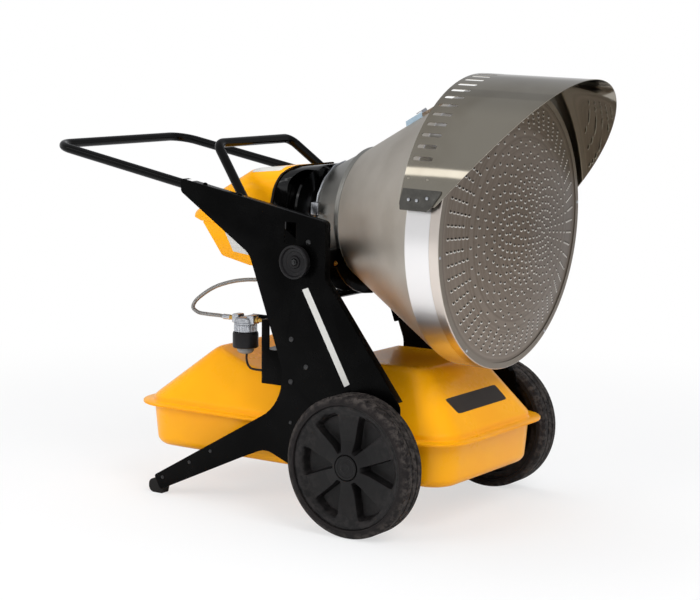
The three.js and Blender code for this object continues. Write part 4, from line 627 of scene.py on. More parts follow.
def turned(name, profile, finish=None, place=Matrix.Identity(4), steps=128):
    """A closed profile of (radius, length along the axis), turned about the X axis of its place."""
    size, points, faces = len(profile), [], []
    for k in range(steps):
        points += [beside(length, radius, 2 * pi * k / steps) for radius, length in profile]
        for j in range(size):
            after, across = (j + 1) % size, (k + 1) % steps * size
            corners = [k * size + j, k * size + after]
            corners += [across + end for end in (after, j) if profile[end][0] >= 1e-6]
            if len(corners) > 2:
                faces.append(corners)
    return from_faces(name, points, faces, finish, place)


def skin(name, rings, finish=None, place=AXLE):
    """A skin through rings in millimetres, closed at its ends by strips from side to side."""
    size, last = len(rings[0]), (len(rings) - 1) * len(rings[0])
    faces = joined_rows(len(rings), size)
    for j in range(size // 2 - 1):
        strip = (j, j + 1, size - 2 - j, size - 1 - j)
        faces += [strip, tuple(last + corner for corner in strip)]
    return from_faces(name, [Vector(p) * MM for ring in rings for p in ring], faces, finish, place)


print("a box joins", len(joined_rows(2, 4)), "faces between its two ends")

# %% [markdown]
# ## Bevels, cuts and the last touch
# Real edges are never sharp: a small bevel gives each its highlight. Openings are real cuts, because light has to
# pass through them. ready() comes last on every piece, when its mesh no longer changes.

# %% Bevel, cut, unite and finish a piece
def settle(made):
    """Turns an object's modifiers into plain mesh."""
    mesh = bpy.data.meshes.new_from_object(made.evaluated_get(bpy.context.evaluated_depsgraph_get()))
    made.modifiers.clear()
    made.data = mesh
    return made


def bevel(made, width, segments=2, angle=32):
    """Rounds every sharp edge, by a width in millimetres."""
    edge = made.modifiers.new("bevel", "BEVEL")
    edge.width, edge.segments, edge.limit_method, edge.angle_limit = width * MM, segments, "ANGLE", radians(angle)
    return settle(made)


def cut(made, *tools, operation="DIFFERENCE"):
    """Takes each tool's volume away from a piece, or with INTERSECT keeps only what lies in it."""
    for tool in tools:
        hole = made.modifiers.new("cut", "BOOLEAN")
        hole.operation, hole.object, hole.solver = operation, tool, "EXACT"
    settle(made)
    for tool in tools:
        bpy.data.objects.remove(tool)
    return made


def unite(name, *pieces):
    """Puts separate closed meshes into one object, without cutting them."""
    mesh, materials = bpy.data.meshes.new(name), []
    with editing(mesh) as work:
        for part in pieces:
            start, own = len(work.faces), next(iter(part.data.materials), None)
            work.from_mesh(part.data)
            work.faces.ensure_lookup_table()
            materials += [own] if own not in materials else []
            for face in work.faces[start:]:
                face.material_index = materials.index(own)
    made = link(name, mesh)
    for own in filter(None, materials):
        mesh.materials.append(own)
    made["finish_slot"] = pieces[0].get("finish_slot", "")
    for part in pieces:
        bpy.data.objects.remove(part)
    return made


def ready(made, body, *replaced, angle=34):
    """Last touch on a piece: smooth shading, its body, and hiding the CAD nodes that it stands for."""
    made.data.shade_smooth()
    made.data.set_sharp_from_angle(angle=radians(angle))
    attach(made, body)
    if replaced:
        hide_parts(*replaced)
    print(made.name, "has", len(made.data.polygons), "faces")
    return made

# %% [markdown]
# ## The fuel hose
# A braided hose runs from the filter, round in a wide loop behind the plate, to the burner. A curve object could
# carry it, but the sheath needs lengths in metres along it, so it is one tube swept along the route of the CAD
# solid. A frame is carried along the route so that the weave doesn't twist.

# %% Sweep the hose along its route
HOSE_ROUTE = [
    (-400.6, -225, 441.6), (-416, -225, 441.6), (-437, -219, 441.5), (-484.7, -208, 439.5), (-518, -200, 440.5),
    (-531.5, -200, 450), (-526, -200, 463.5), (-504, -200, 482), (-464, -200, 505), (-411, -200, 522),
    (-370, -200, 529), (-344, -199, 531.5), (-326, -193, 538), (-311, -178, 555), (-302, -160, 574),
    (-300.4, -146, 580.6), (-300.4, -136.3, 580.6),
]
HOSE_DIAMETER = 9


def through(points, steps=10):
    """A smooth line through points, with each span's speed set by the root of its length."""
    ends = [points[0] * 2 - points[1], *points, points[-1] * 2 - points[-2]]
    line = []
    for a, b, c, d in zip(ends, ends[1:], ends[2:], ends[3:]):
        t0, t1, t2 = (max(sqrt((q - p).length), 1e-4) for p, q in ((a, b), (b, c), (c, d)))
        start = ((b - a) / t0 - (c - a) / (t0 + t1) + (c - b) / t1) * t1
        end = ((c - b) / t1 - (d - b) / (t1 + t2) + (d - c) / t2) * t1
        for s in (k / steps for k in range(steps)):
            line.append(b * (2 * s**3 - 3 * s**2 + 1) + start * (s**3 - 2 * s**2 + s)
                        + c * (3 * s**2 - 2 * s**3) + end * (s**3 - s**2))
    return [*line, points[-1]]


def swept(name, line, radius, finish, sides=20):
    """A round tube along a line in metres, with u round it and v along it in metres, and its length."""
    normal, lengths, rows = Vector((0, 0, 1)), [0.0], []
    for i, point in enumerate(line):
        way = (line[min(i + 1, len(line) - 1)] - line[max(i - 1, 0)]).normalized()
        normal = (normal - way * normal.dot(way)).normalized()
        across = way.cross(normal)
        if i:
            lengths.append(lengths[-1] + (point - line[i - 1]).length)
        rows.append([point + radius * MM * (x * normal + y * across) for x, y in circle(1, sides)])
    tube = stack(name, rows, finish)
    mesh = tube.data
    layer = mesh.uv_layers.new(name="UVMap")
    for face in mesh.polygons:
        seam = len(face.vertices) == 4 and any(v % sides == sides - 1 for v in face.vertices)
        for k in face.loop_indices:
            row, column = divmod(mesh.loops[k].vertex_index, sides)
            layer.data[k].uv = (1 if seam and column == 0 else column / sides, lengths[row])
    return tube, lengths[-1]


hose_line = through([spot(*point) for point in HOSE_ROUTE])
hose, hose_length = swept("fuel_hose_braided", hose_line, HOSE_DIAMETER / 2, braid)
ready(hose, "chassis", "fuel_hose")
print("hose length", round(hose_length, 4))

# %% [markdown]
# ## Geometry Nodes that repeat a shape
# Screws, rivets, ribs, slots and holes all repeat one small shape over many places. Copying objects in a loop would
# work, but one tree does it for all. The places are the points of a helper mesh, each with an aim (which way it
# faces) and a course (which way its length runs). One tree scatters the shape, and a second punches it in a sheet.

# %% Build the two repeating trees
class Builder(Tree):
    """A Geometry Nodes tree with named inputs, put on an object as a modifier."""

    def __init__(self, name, **inputs):
        group = bpy.data.node_groups.new(name, "GeometryNodeTree")
        super().__init__(group)
        group.interface.new_socket(name="Geometry", in_out="OUTPUT", socket_type="NodeSocketGeometry")
        for label, kind in {"Geometry": "Geometry", **inputs, "Material": "Material"}.items():
            group.interface.new_socket(name=label, in_out="INPUT", socket_type="NodeSocket" + kind)
        self.start = group.nodes.new("NodeGroupInput")
        self.keys = {item.name: item.identifier for item in group.interface.items_tree if item.in_out == "INPUT"}

    def given(self, label):
        return Value(self.tree, self.start.outputs[label])

    def end(self, geometry):
        whole = self.node("GeometryNodeRealizeInstances", None, {0: geometry})
        made = self.node("GeometryNodeSetMaterial", None, {0: whole, "Material": self.given("Material")})
        feed(self.tree.nodes.new("NodeGroupOutput").inputs[0], made)

    def apply(self, made, finish, **values):
        """Runs the tree on an object and leaves plain mesh."""
        change = made.modifiers.new(self.tree.name, "NODES")
        change.node_group = self.tree
        for label, value in {"Material": finish.material, **values}.items():
            change[self.keys[label]] = value
        made["finish_slot"] = finish.slot
        return settle(made)


def placed_shapes(tree):
    """The shape, turned to each place's aim and course."""
    aim, course = (tree.node("GeometryNodeInputNamedAttribute", {"data_type": "FLOAT_VECTOR"}, {"Name": name})
                   for name in ("aim", "course"))
    aimed = tree.node("FunctionNodeAlignRotationToVector", {"axis": "Z"}, {"Vector": aim})
    aimed = tree.node("FunctionNodeAlignRotationToVector", {"axis": "X", "pivot_axis": "Z"},
                      {"Rotation": aimed, "Vector": course})
    places, shape = (tree.node("GeometryNodeObjectInfo", None, {"Object": tree.given(name)}, "Geometry")
                     for name in ("Places", "Shape"))
    points = tree.node("GeometryNodeMeshToPoints", None, {"Mesh": places})
    return tree.node("GeometryNodeInstanceOnPoints", None,
                     {"Points": points, "Instance": shape, "Rotation": aimed, "Scale": tree.given("Size")})


scatter, punch = (Builder(name, Places="Object", Shape="Object", Size="Vector") for name in ("scatter", "punch"))
scatter.end(placed_shapes(scatter))
solid_punches = punch.node("GeometryNodeRealizeInstances", None, {0: placed_shapes(punch)})
punch.end(punch.node("GeometryNodeMeshBoolean", {"operation": "DIFFERENCE", "solver": "MANIFOLD"},
                     {0: punch.given("Geometry"), 1: solid_punches}))


def repeated(tree, made, shape, spots, finish):
    """Runs a repeating tree: one copy of the shape for each (place, aim, course)."""
    mesh = bpy.data.meshes.new("places")
    mesh.from_pydata([tuple(place) for place, _, _ in spots], [], [])
    for part, label in enumerate(("aim", "course"), 1):
        layer = mesh.attributes.new(label, "FLOAT_VECTOR", "POINT")
        for k, one in enumerate(spots):
            layer.data[k].vector = one[part]
    helper = make_object("places", mesh)
    tree.apply(made, finish, Places=helper, Shape=shape, Size=(1, 1, 1))
    for used in (helper, shape):
        bpy.data.objects.remove(used)
    return made


def scattered(name, shape, spots, finish, body):
    """Copies of a shape at every spot, as one piece on one body."""
    return ready(repeated(scatter, make_object(name, bpy.data.meshes.new(name)), shape, spots, finish), body)


print("trees:", [(tree.tree.name, len(tree.tree.nodes)) for tree in (scatter, punch)])

# %% [markdown]
# ## Heads of screws and bolts
# A fastener is too small for its thread or slot to show. Only its head's outline and highlight matter, so a domed
# or a six-sided head on a washer is enough.

# %% Make the two kinds of head
def dome_head(radius, height):
    """A round rivet or screw head, standing on the ground with its base a little below it."""
    arc = [(radius * cos(a), height * sin(a)) for a in (0, 0.35, 0.75, 1.1, 1.4)]
    return turned("head", [(0, -0.5), (radius, -0.5), *arc, (0, height)], None, UPRIGHT, 16)


def hex_head(radius, height):
    """A hexagon nut or bolt head on a washer."""
    washer = turned("washer", [(0, -0.5), (radius * 1.45, -0.5), (radius * 1.45, 1.2), (0, 1.2)], None, UPRIGHT, 20)
    nut = prism("nut", circle(radius, 6), 1.2, 1.2 + height)
    stud = turned("stud", [(0, 1), (radius * 0.5, 1), (radius * 0.5, height + 2.4), (radius * 0.4, height + 3),
                           (0, height + 3)], None, UPRIGHT, 12)
    return unite("fastener", washer, bevel(nut, 0.5, 1), stud)


print("heads: dome and hexagon")

# %% [markdown]
# ## The cone and its rings
# The cone, its collar, the step band and the ring at the mouth are thin spun steel. Each is one section turned
# about the head's axis, with its bends rounded as a roller leaves them. A plain cone primitive would have no
# thickness and no such bends.

# %% Turn the spun parts of the head
SHEET, DISC_REACH, MOUTH, BAND_REAR, BAND_FRONT = 1.5, 391, 315, 308.7, 367.7
CONE_REAR, CONE_ROOT = 29.3, 155


def spun_sheet(name, corners, finish):
    """corners are the outer side's (radius, reach, bend radius). The inner side lies one sheet further in."""
    line = rounded([*corners, (0, corners[-1][1], 0), (0, corners[0][1], 0)], 5)[:-2]
    inner = []
    for i, point in enumerate(line):
        way = (line[min(i + 1, len(line) - 1)] - line[max(i - 1, 0)]).normalized()
        inner.append(point - Vector((way.y, -way.x)) * SHEET)
    return turned(name, [*line, *reversed(inner)], finish, HEAD, 160)


for name, node, finish, corners in (
        ("cone_spun", "reflector_cone", satin_steel,
         [(148, CONE_REAR, 0), (CONE_ROOT, CONE_REAR, 2), (MOUTH, BAND_REAR, 9), (MOUTH, BAND_FRONT, 0)]),
        ("collar_spun", "rear_collar", collar_steel,
         [(112, -58, 0), (150, 17, 2), (155, 17, 1.5), (155, 29, 1.5), (148, 29, 0)]),
        ("mouth_ring", "front_ring", ring_steel, [(MOUTH, 368, 0), (MOUTH, 391, 3), (300, 391, 0)])):
    ready(spun_sheet(name, corners, finish), "head", node, angle=40)

# %% [markdown]
# ## The perforated disc
# The disc bulges forwards: a flat rim, a steeper ring and a shallow cone. Its holes lie on sixty lines through
# the middle. Six and five holes stand close together on the steeper ring, and wider apart, in turn, further in.
# A see-through pattern would be lighter, but real holes let light through and have edges.

# %% Punch the radiation disc
HOLE = 5.8
RIM_REACH = DISC_REACH - SHEET - 0.3
DISC_RISE = ((0, 53), (60, 45.5), (140, 32.5), (205, 21.5), (223, 18), (240, 13.3), (280, 2.2), (288, 0.3), (292, 0),
             (313, 0))
DISC_THICK = 1.8


def disc_holes():
    """The (radius, turn) of every hole, in millimetres and radians from the top."""
    holes = []
    for line in range(60):
        for first, count, pitch in (((278, 6, 10.7), (196, 4, 26)), ((280, 5, 10.7), (213, 4, 26)))[line % 2]:
            holes += [(first - pitch * k, pi * 1.5 + line * pi / 30) for k in range(count)]
    for radius, count, shift in ((108, 30, 0), (95, 30, 0.5), (82, 24, 0), (69, 24, 0.5), (56, 15, 0), (43, 15, 0.5),
                                 (30, 9, 0), (17, 6, 0.5), (4, 1, 0)):
        holes += [(radius, 2 * pi * (k + shift) / count) for k in range(count)]
    return holes


axis_way, side_way = facing(HEAD, 1, 0, 0), facing(HEAD, 0, 1, 0)
front = [(radius, RIM_REACH + rise) for radius, rise in DISC_RISE]
back = [(radius, reach - DISC_THICK) for radius, reach in reversed(front)]
disc = turned("disc_perforated", [*front, *back], heated_steel, HEAD, 120)
hole_spots = [(on_head(RIM_REACH, radius, turn), axis_way, side_way) for radius, turn in disc_holes()]
repeated(punch, disc, prism("drill", circle(HOLE / 2, 8), -12, 64), hole_spots, heated_steel)
ready(disc, "head", "radiation_disc", angle=24)
print("disc holes:", len(hole_spots))

# %% [markdown]
# ## Painted highlights on the holes' lips
# A punch pushes the metal out round each hole, and the lower lip catches the light. Displacing the disc would need
# millions of faces. A small near-white crescent on one side of each hole, laid on the disc's slope, is a painted
# highlight that gives the same bright edge.

# %% Scatter the painted lip highlights
def lip_spot(radius, turn):
    (near, low), (far, high) = next(pair for pair in zip(front, front[1:]) if pair[1][0] >= radius)
    slope = (high - low) / (far - near)
    aim = Vector((1, -slope * sin(turn), -slope * cos(turn))).normalized()
    return on_head(low + slope * (radius - near), radius, turn), facing(HEAD, *aim), side_way


highlight_crescent = [(r * cos(a), r * sin(a)) for r, turns in ((HOLE / 2 - 0.1, range(9)), (HOLE / 2 + 1.3, range(8, -1, -1)))
            for a in (radians(-175 + 20 * k) for k in turns)]
scattered("disc_hole_lips", prism("lip", highlight_crescent, -0.4, 0.7), [lip_spot(*hole) for hole in disc_holes()], lip_steel,
          "head")

# %% [markdown]
# ## The hood
# A mirror-bright sheet bent round the mouth keeps the heat down. It reaches furthest at the top and falls back to
# the sides. A row of slots along its rear edge lets air through. A bend modifier would not give the curved front
# edge, so it is a grid bent round the axis, with thickness, punched by the same tree as the disc.

# %% Bend and punch the hood
HOOD_RADIUS, HOOD_SHEET, HOOD_HALF, HOOD_REAR, HOOD_STEPS = 326, 1.2, 78, 294, 156
HOOD_REACH, HOOD_FALL, HOOD_LIFT, HOOD_BEND = 180, 190, 9, 360
SLOT_REACH, SLOTS, SLOT_PITCH, SLOT_LENGTH, SLOT_WIDTH = 327, 25, 28.5, 48, 9


def hood_lift(turn):
    """The hood stands a little higher over the middle than at its sides."""
    return HOOD_LIFT * cos(turn) ** 2


def make_hood():
    rows = []
    for i in range(HOOD_STEPS + 1):
        share = 2 * i / HOOD_STEPS - 1
        turn, far = radians(HOOD_HALF * share), DISC_REACH + HOOD_REACH - HOOD_FALL * share**2
        bend = min(HOOD_BEND, far - 2)
        reaches, inner = (HOOD_REAR, bend, (bend + far) / 2, far), HOOD_RADIUS + hood_lift(turn)
        rows.append([on_head(reach, inner, turn) for reach in reaches]
                    + [on_head(reach, inner + HOOD_SHEET, turn) for reach in reversed(reaches)])
    return stack("hood_bright", rows, mirror_steel)


def slot_outline(length, width, steps=6):
    return [(side * ((length - width) / 2 + width / 2 * cos(a)), side * width / 2 * sin(a))
            for side in (1, -1) for a in (-pi / 2 + pi * k / steps for k in range(steps + 1))]


slot_turns = [(k - SLOTS // 2) * SLOT_PITCH / HOOD_RADIUS for k in range(SLOTS)]
slot_spots = [ring_spot(HEAD, SLOT_REACH, HOOD_RADIUS + hood_lift(turn), turn) for turn in slot_turns]
slot = prism("slot", slot_outline(SLOT_LENGTH, SLOT_WIDTH), -6, 6)
ready(repeated(punch, make_hood(), slot, slot_spots, mirror_steel), "head", "visor", angle=24)
print("hood slots:", len(slot_spots))

# %% [markdown]
# ## Wheels
# Each wheel is a moulded rim with six wedge pockets between its spokes, a hub cap that snaps in, and a solid
# rubber tyre. Spokes could be set one by one. Cutting six rounded wedges out of a turned disc leaves the spokes
# joined with round corners, as the mould does.

# %% Turn the rims and cut their pockets
SIDES = (("right", -1), ("left", 1))
WHEEL_RADIUS, TYRE_DEPTH, TYRE_WIDTH = 159, 21, 72
POCKET_INNER, POCKET_OUTER, POCKET_HALF, POCKET_MIDDLE, POCKETS = 37, 124, radians(17.5), 82, 6


def hub_place(side):
    """Local X runs outwards along the axle."""
    return Matrix.Translation((WHEEL_HUB.x, side * WHEEL_HUB.y, WHEEL_HUB.z)) @ Matrix.Rotation(side * pi / 2, 4, "Z")


def pocket(place, turn):
    """One wedge between two spokes, with round corners, that widens towards the rim's outer face."""
    far_x, far_y = POCKET_OUTER * cos(POCKET_HALF), POCKET_OUTER * sin(POCKET_HALF)
    line = rounded([(POCKET_INNER, -5, 3), (far_x, -far_y, 8), (POCKET_OUTER + 1, 0, 0), (far_x, far_y, 8),
                    (POCKET_INNER, 5, 3)], 4)
    rows = []
    for depth, grow in ((1, 0.8), (18, 0.9), (34, 1.08)):
        sizes = [(POCKET_MIDDLE + (p.x - POCKET_MIDDLE) * grow, p.y * grow) for p in line]
        rows.append([Vector((depth * MM, (away * sin(turn) + across * cos(turn)) * MM,
                             (away * cos(turn) - across * sin(turn)) * MM)) for away, across in sizes])
    return stack("pocket", rows, rim_plastic, place)


def make_rim(name, side):
    place = hub_place(side)
    profile = rounded([
        (10.6, -31, 0), (31, -31, 1), (31, -4, 1), (123, -4, 1), (123, -31, 0), (138, -31, 0), (138, 31, 2),
        (131, 31, 2), (123, 26, 3), (116, 22, 5), (60, 24, 20), (36, 30, 5), (31, 31, 2), (30, 31, 1),
        (27.5, 26.6, 1), (10.6, 26.6, 0)], 3)
    rim = turned("rim_moulded_" + name, profile, rim_plastic, place, 144)
    cut(rim, *[pocket(place, 2 * pi * (k + 0.5) / POCKETS) for k in range(POCKETS)])
    hub_cap = turned("hub_cap", [(0, 26.8), (26.6, 26.8), (27, 31.6), (25.8, 32.2), (22, 32.2), (21, 31), (14, 31.4),
                                 (13, 32.4), (9, 32.8), (8, 32), (0, 32.4)], rim_plastic, place, 64)
    whole = bevel(unite("rim_moulded_" + name, rim, hub_cap), 0.9, 2, 38)
    return ready(whole, "wheel_" + name, "wheel_rim_" + name, angle=36)


for name, side in SIDES:
    make_rim(name, side)

# %% [markdown]
# ## Tyres
# The tyre is a solid ring of rubber, with two grooves round its tread and three rows of small slanting sipes. An
# array could place the sipes, but the punching tree is there already and takes each one's slant as its course.

# %% Turn the tyres and punch their sipes
BEAD, HALF_TYRE = WHEEL_RADIUS - TYRE_DEPTH + 0.3, TYRE_WIDTH / 2
SIPES, SIPE_ROWS = 40, ((-24, 0, 0.5), (0, 0.5, -0.5), (24, 0, 0.5))


def tyre_profile():
    groove = [(WHEEL_RADIUS, -2.6), (WHEEL_RADIUS - 3, -1.4), (WHEEL_RADIUS - 3, 1.4), (WHEEL_RADIUS, 2.6)]
    shoulder = [(143, -HALF_TYRE, 1), (149, -HALF_TYRE + 0.8, 4), (WHEEL_RADIUS, -HALF_TYRE + 9, 7)]
    far_side = [(radius, -across, bend) for radius, across, bend in reversed(shoulder)]
    far_side += [(BEAD + 1.5, HALF_TYRE, 0), (BEAD, HALF_TYRE - 2, 0)]
    return [(BEAD, -HALF_TYRE + 2), (BEAD + 1.5, -HALF_TYRE), *rounded([*shoulder, (WHEEL_RADIUS, -10, 0)], 4)[:-1],
            *[(radius, middle + shift) for middle in (-9.5, 9.5) for radius, shift in groove],
            *rounded([(WHEEL_RADIUS, 13, 0), *far_side], 4)[1:]]


def make_tyre(name, side):
    place = hub_place(side)
    tyre = turned("tyre_moulded_" + name, tyre_profile(), tyre_rubber, place, 144)
    spots = []
    for k in range(SIPES):
        for row, shift, slant in SIPE_ROWS:
            turn = 2 * pi * (k + shift) / SIPES
            along = facing(place, cos(slant), sin(slant) * cos(turn), -sin(slant) * sin(turn))
            spots.append((place @ beside(row, WHEEL_RADIUS - 0.5, turn), off_axis(place, turn), along))
    sipe = prism("sipe", ((-6.5, -0.9), (0, 0.6), (6.5, -0.9), (6.5, 0.9), (0, 2.4), (-6.5, 0.9)), -2.2, 3)
    return ready(repeated(punch, tyre, sipe, spots, tyre_rubber), "wheel_" + name, "tyre_" + name, angle=30)


for name, side in SIDES:
    make_tyre(name, side)

# %% [markdown]
# ## Side plates
# Each plate is one folded sheet: the leg, the head's support and the handle's root in one outline. Along its edges
# the sheet folds inwards in a flange, with a round fold. A solidified outline would have no fold, so a thick slab
# is hollowed from inside, and the flange is cut away where the plate has none.

# %% Fold the side plates
PLATE_OUTER, PLATE_INNER, FLANGE = 258.7, 255.7, 18
TILT_X, TILT_Z, PLATE_FRONT, PLATE_RISE, PLATE_SLOPE = -182, 591, -113, 92, 0.19


def plate_top(x):
    return TILT_Z + PLATE_RISE + PLATE_SLOPE * (PLATE_FRONT - x)


def plate_line(shrink=0.0):
    tip, waist = plate_top(-520), 44 + (606 - 229) * tan(radians(29.8))
    line = rounded([
        (-520, tip, 6), (PLATE_FRONT, plate_top(PLATE_FRONT), 12), (PLATE_FRONT, 556, 12), (88, 292, 26),
        (88, 72, 26), (-78, 72, 60), (-275, 152, 55), (-345, 122, 27.5), (-587, 11, 6), (-606, 44, 6),
        (-229, waist, 110), (-229, 345, 60), (-322, 598, 45), (-520, tip - 31, 12)], 8)
    return inset(line, shrink) if shrink else line


def brick(x_low, x_high, y_low, y_high, z_low, z_high):
    """A plain tool block, in millimetres from the axle."""
    return slab("brick", ((x_low, z_low), (x_high, z_low), (x_high, z_high), (x_low, z_high)), y_low, y_high)


def make_plate(name, side):
    sheet = slab("side_plate_folded_" + name, plate_line(),
                 *sorted((side * PLATE_OUTER, side * (PLATE_INNER - FLANGE))), black_coat)
    inner = sorted((side * PLATE_INNER, side * (PLATE_INNER - FLANGE - 6)))
    cut(sheet, slab("hollow", plate_line(3), *inner))
    cut(sheet, brick(-652, 94, *inner, -6, 300), brick(-652, -169, *inner, -6, 390),
        brick(-526, -489, *inner, 598, 757.3))
    across = sorted((side * (PLATE_OUTER + 6), side * (PLATE_INNER - 6)))
    window = rounded([(-224, 627, 6), (-192, 627, 6), (-192, 677, 0), (-224, 677, 0)], 5)
    cut(sheet, *[slab("hole", line, *across) for line in (
        window, circle(7.5, 32, (TILT_X, TILT_Z)), circle(7.3, 32, (0, WHEEL_RADIUS)))])
    return ready(bevel(sheet, 0.9, 3, 50), "chassis", "side_plate_" + name, angle=40)


def make_foot(name, side):
    low, high = sorted((side * (PLATE_INNER - 24.3), side * (PLATE_INNER - 0.3)))
    block = slab("foot_rubber_" + name, rounded([(-626, 0, 15), (-584, 0, 5), (-575.6, 34, 5), (-626, 34, 15)], 8),
                 low, high, foot_rubber)
    return ready(bevel(block, 1.6, 3, 50), "chassis", "foot_cap_" + name, angle=40)


for name, side in SIDES:
    make_plate(name, side)
    make_foot(name, side)

# %% [markdown]
# ## Tubes
# The push handle, the lifting hoop and the cross tube are bent round tube. A bevelled curve would do, but a tree
# shows its sizes: it takes the path's corners as a mesh line, fillets each bend and sweeps a circle along it.

# %% Sweep the tubes
TUBE, TUBE_IN = 22, 11.3
rail = Builder("rail", Bend="Float", Thickness="Float")
path_line = rail.node("GeometryNodeMeshToCurve", None, {"Mesh": rail.given("Geometry")})
bent = rail.node("GeometryNodeFilletCurve", {"mode": "POLY"},
                 {"Curve": path_line, "Count": 14, "Radius": rail.given("Bend"), "Limit Radius": True})
section = rail.node("GeometryNodeCurvePrimitiveCircle", None, {"Resolution": 28, "Radius": rail.given("Thickness")})
rail.end(rail.node("GeometryNodeCurveToMesh", None, {"Curve": bent, "Profile Curve": section, "Fill Caps": True}))


def make_tube(name, bend, half):
    """half is the tube's right half, as corners. The left one mirrors it."""
    corners = [spot(x, -y, z) for x, y, z in half] + [spot(*corner) for corner in reversed(half)]
    mesh = bpy.data.meshes.new(name + "_tube")
    mesh.from_pydata([tuple(p) for p in corners], [(i, i + 1) for i in range(len(corners) - 1)], [])
    tube = rail.apply(make_object(name + "_tube", mesh), tube_black, Bend=bend * MM, Thickness=TUBE / 2 * MM)
    with editing(tube.data) as work:
        bmesh.ops.recalc_face_normals(work, faces=work.faces)
    return ready(tube, "chassis", name, angle=40)


def handle_corner(x):
    """The handle lies under the plates' sloping flanges, which are a 3 mm sheet."""
    drop = 3 * (1 + PLATE_SLOPE) + TUBE_IN * hypot(1, PLATE_SLOPE)
    return x, PLATE_INNER - TUBE_IN, plate_top(x) - drop


make_tube("push_handle", 52, [handle_corner(-300), handle_corner(-924)])
make_tube("lifting_hoop", 34, [
    (-248, PLATE_INNER - TUBE_IN, 592), (-296, PLATE_INNER - TUBE_IN, 640), (-501, 146, 836)])
make_tube("cross_tube", 1, [(-262, PLATE_INNER - 0.3, 483)])

# %% [markdown]
# ## The fuel tank
# The tank is two pressed halves that meet at a flanged seam. Its top rises to a crest at each end, with a valley
# between them for the filler. Sculpting it would lose its sizes. Every level of it is one rounded rectangle, so the
# skin is a stack of such rings, and a soft minimum of two heights rounds the slopes over into the top.

# %% Shape the tank's rings
SEAM, STEP_TOP, VALLEY_HEIGHT, CREST_HEIGHT = 210, 224, 300, 354
FOOT_RING, CREST_RING = (-678, 178, 215.5, 76), (-516, 72, 132, 32)


def blend(a, b, share):
    return a + (b - a) * share


def within(x, low, high):
    """Where x lies between two values, from 0 to 1."""
    return max(0, min(1, (x - low) / (high - low)))


def tank_top(x):
    """Height of the tank's top at a place behind the axle."""
    if x > -212:
        share = within(x, -212, -158)
        return blend(VALLEY_HEIGHT, CREST_HEIGHT, share * share * (3 - 2 * share))
    return VALLEY_HEIGHT + (CREST_HEIGHT - VALLEY_HEIGHT) * (1 - within(x, -516, -250)) ** 2


def soft_lower(a, b, soft=18):
    over = max(soft - abs(a - b), 0) / soft
    return min(a, b) - over * over * soft / 4


def tank_ring(rear, front, half_width, radius, height_at, stations=64, steps=8):
    arc = [(radius * (1 - cos(pi / 2 * k / steps)), half_width - radius * (1 - sin(pi / 2 * k / steps)))
           for k in range(steps + 1)]
    half = [(rear + along, y) for along, y in arc]
    half += [(blend(rear + radius, front - radius, k / stations), half_width) for k in range(1, stations)]
    half += [(front - along, y) for along, y in reversed(arc)]
    return [(x, y, height_at(x)) for x, y in half] + [(x, -y, height_at(x)) for x, y in reversed(half)]


def flat_rings(levels, stations=64):
    """Level rings round the tank's foot: levels are (distance inwards, height)."""
    rear, front, half, radius = FOOT_RING
    return [tank_ring(rear + inwards, front - inwards, half - inwards, radius - inwards, lambda x: height, stations)
            for inwards, height in levels]


def slope_ring(share, inwards, lift=0.0):
    """One ring on the sloping sides: 0 is at their foot, 1 at the crest."""
    rear, front, half = (blend(a, b, share) for a, b in zip(FOOT_RING[:3], CREST_RING))
    return tank_ring(rear + inwards, front - inwards, half - inwards,
                     blend(FOOT_RING[3], CREST_RING[3], min(share, 1)) - inwards,
                     lambda x: soft_lower(blend(STEP_TOP, CREST_HEIGHT, share) + lift, tank_top(x)) - inwards)


def tank_skin(inwards):
    foot = ((0.0, -6.5), (0.004, -2.6), (0.013, -0.9), (0.03, -0.2))
    shares = (0.06, 0.2, 0.35, 0.5, 0.62, 0.72, 0.8, 0.86, 0.92, 0.97, 1.02, 1.08, 1.15, 1.25)
    return [slope_ring(share, inwards, lift) for share, lift in (*foot, *((share, 0.0) for share in shares))]


print("tank top:", [round(tank_top(x)) for x in (-600, -290, 0)], "mm at its rear, valley and front")

# %% [markdown]
# ## The tank's halves
# Both halves are drawn from the same rings. A solidify modifier could thicken the upper one, but its inside is one
# more stack of rings in the same skin, so the filler's hole shows the sheet's edge. The lower pan rolls in to its
# floor along a quarter circle, and is hollowed by a smaller pan.

# %% Press the halves
FILLER, GAUGE = (-290, 92, 0), (-290, -6, 0)
seam_lip = [(-27.4, 0), (-28, 0.5), (-28, 1.5), (-27.4, 2), (-6, 2), (-3, 2.6), (-1, 4.2), (-0.2, 6.4)]
upper = skin("tank_upper_pressed", [
    *reversed([*flat_rings([(0.8, SEAM)]), *tank_skin(2)]),
    *flat_rings([(inwards, SEAM + rise) for inwards, rise in seam_lip]), *tank_skin(0)], orange_paint)
cut(upper, turned("filler_hole", [(0, 270), (23.5, 270), (23.5, 350), (0, 350)], None,
                  Matrix.Translation(spot(*FILLER)) @ UPRIGHT, 40))
ready(upper, "chassis", "tank_upper_shell", angle=50)


def pan_levels(inwards):
    turns = [pi / 2 * k / 8 for k in range(9)]
    return [(7 + 24 * (1 - cos(turn)) + inwards, 104 + inwards + (24 - inwards) * (1 - sin(turn))) for turn in turns]


pan_lip = [(-27.4, 209.7), (-28, 209.2), (-28, 208.2), (-27.4, 207.7), (-5, 207.7), (-1.5, 206.6), (0, 204)]
pan = skin("tank_pan_pressed", flat_rings([*pan_lip, *pan_levels(0)], 12), orange_paint)
cut(pan, skin("pan_hollow", flat_rings([(2, 216), (2, 204), *pan_levels(2)], 12)))
ready(pan, "chassis", "tank_lower_pan", angle=50)

# %% [markdown]
# ## The burner housing
# An orange cover with broad rounded folds sits over a glossy black casing. Both follow one form, so that they fit: a
# roof line with a round shoulder along each side, drawn as sections along the head. Bevelling a box would give one
# even radius, and this shoulder gets smaller towards the tail.

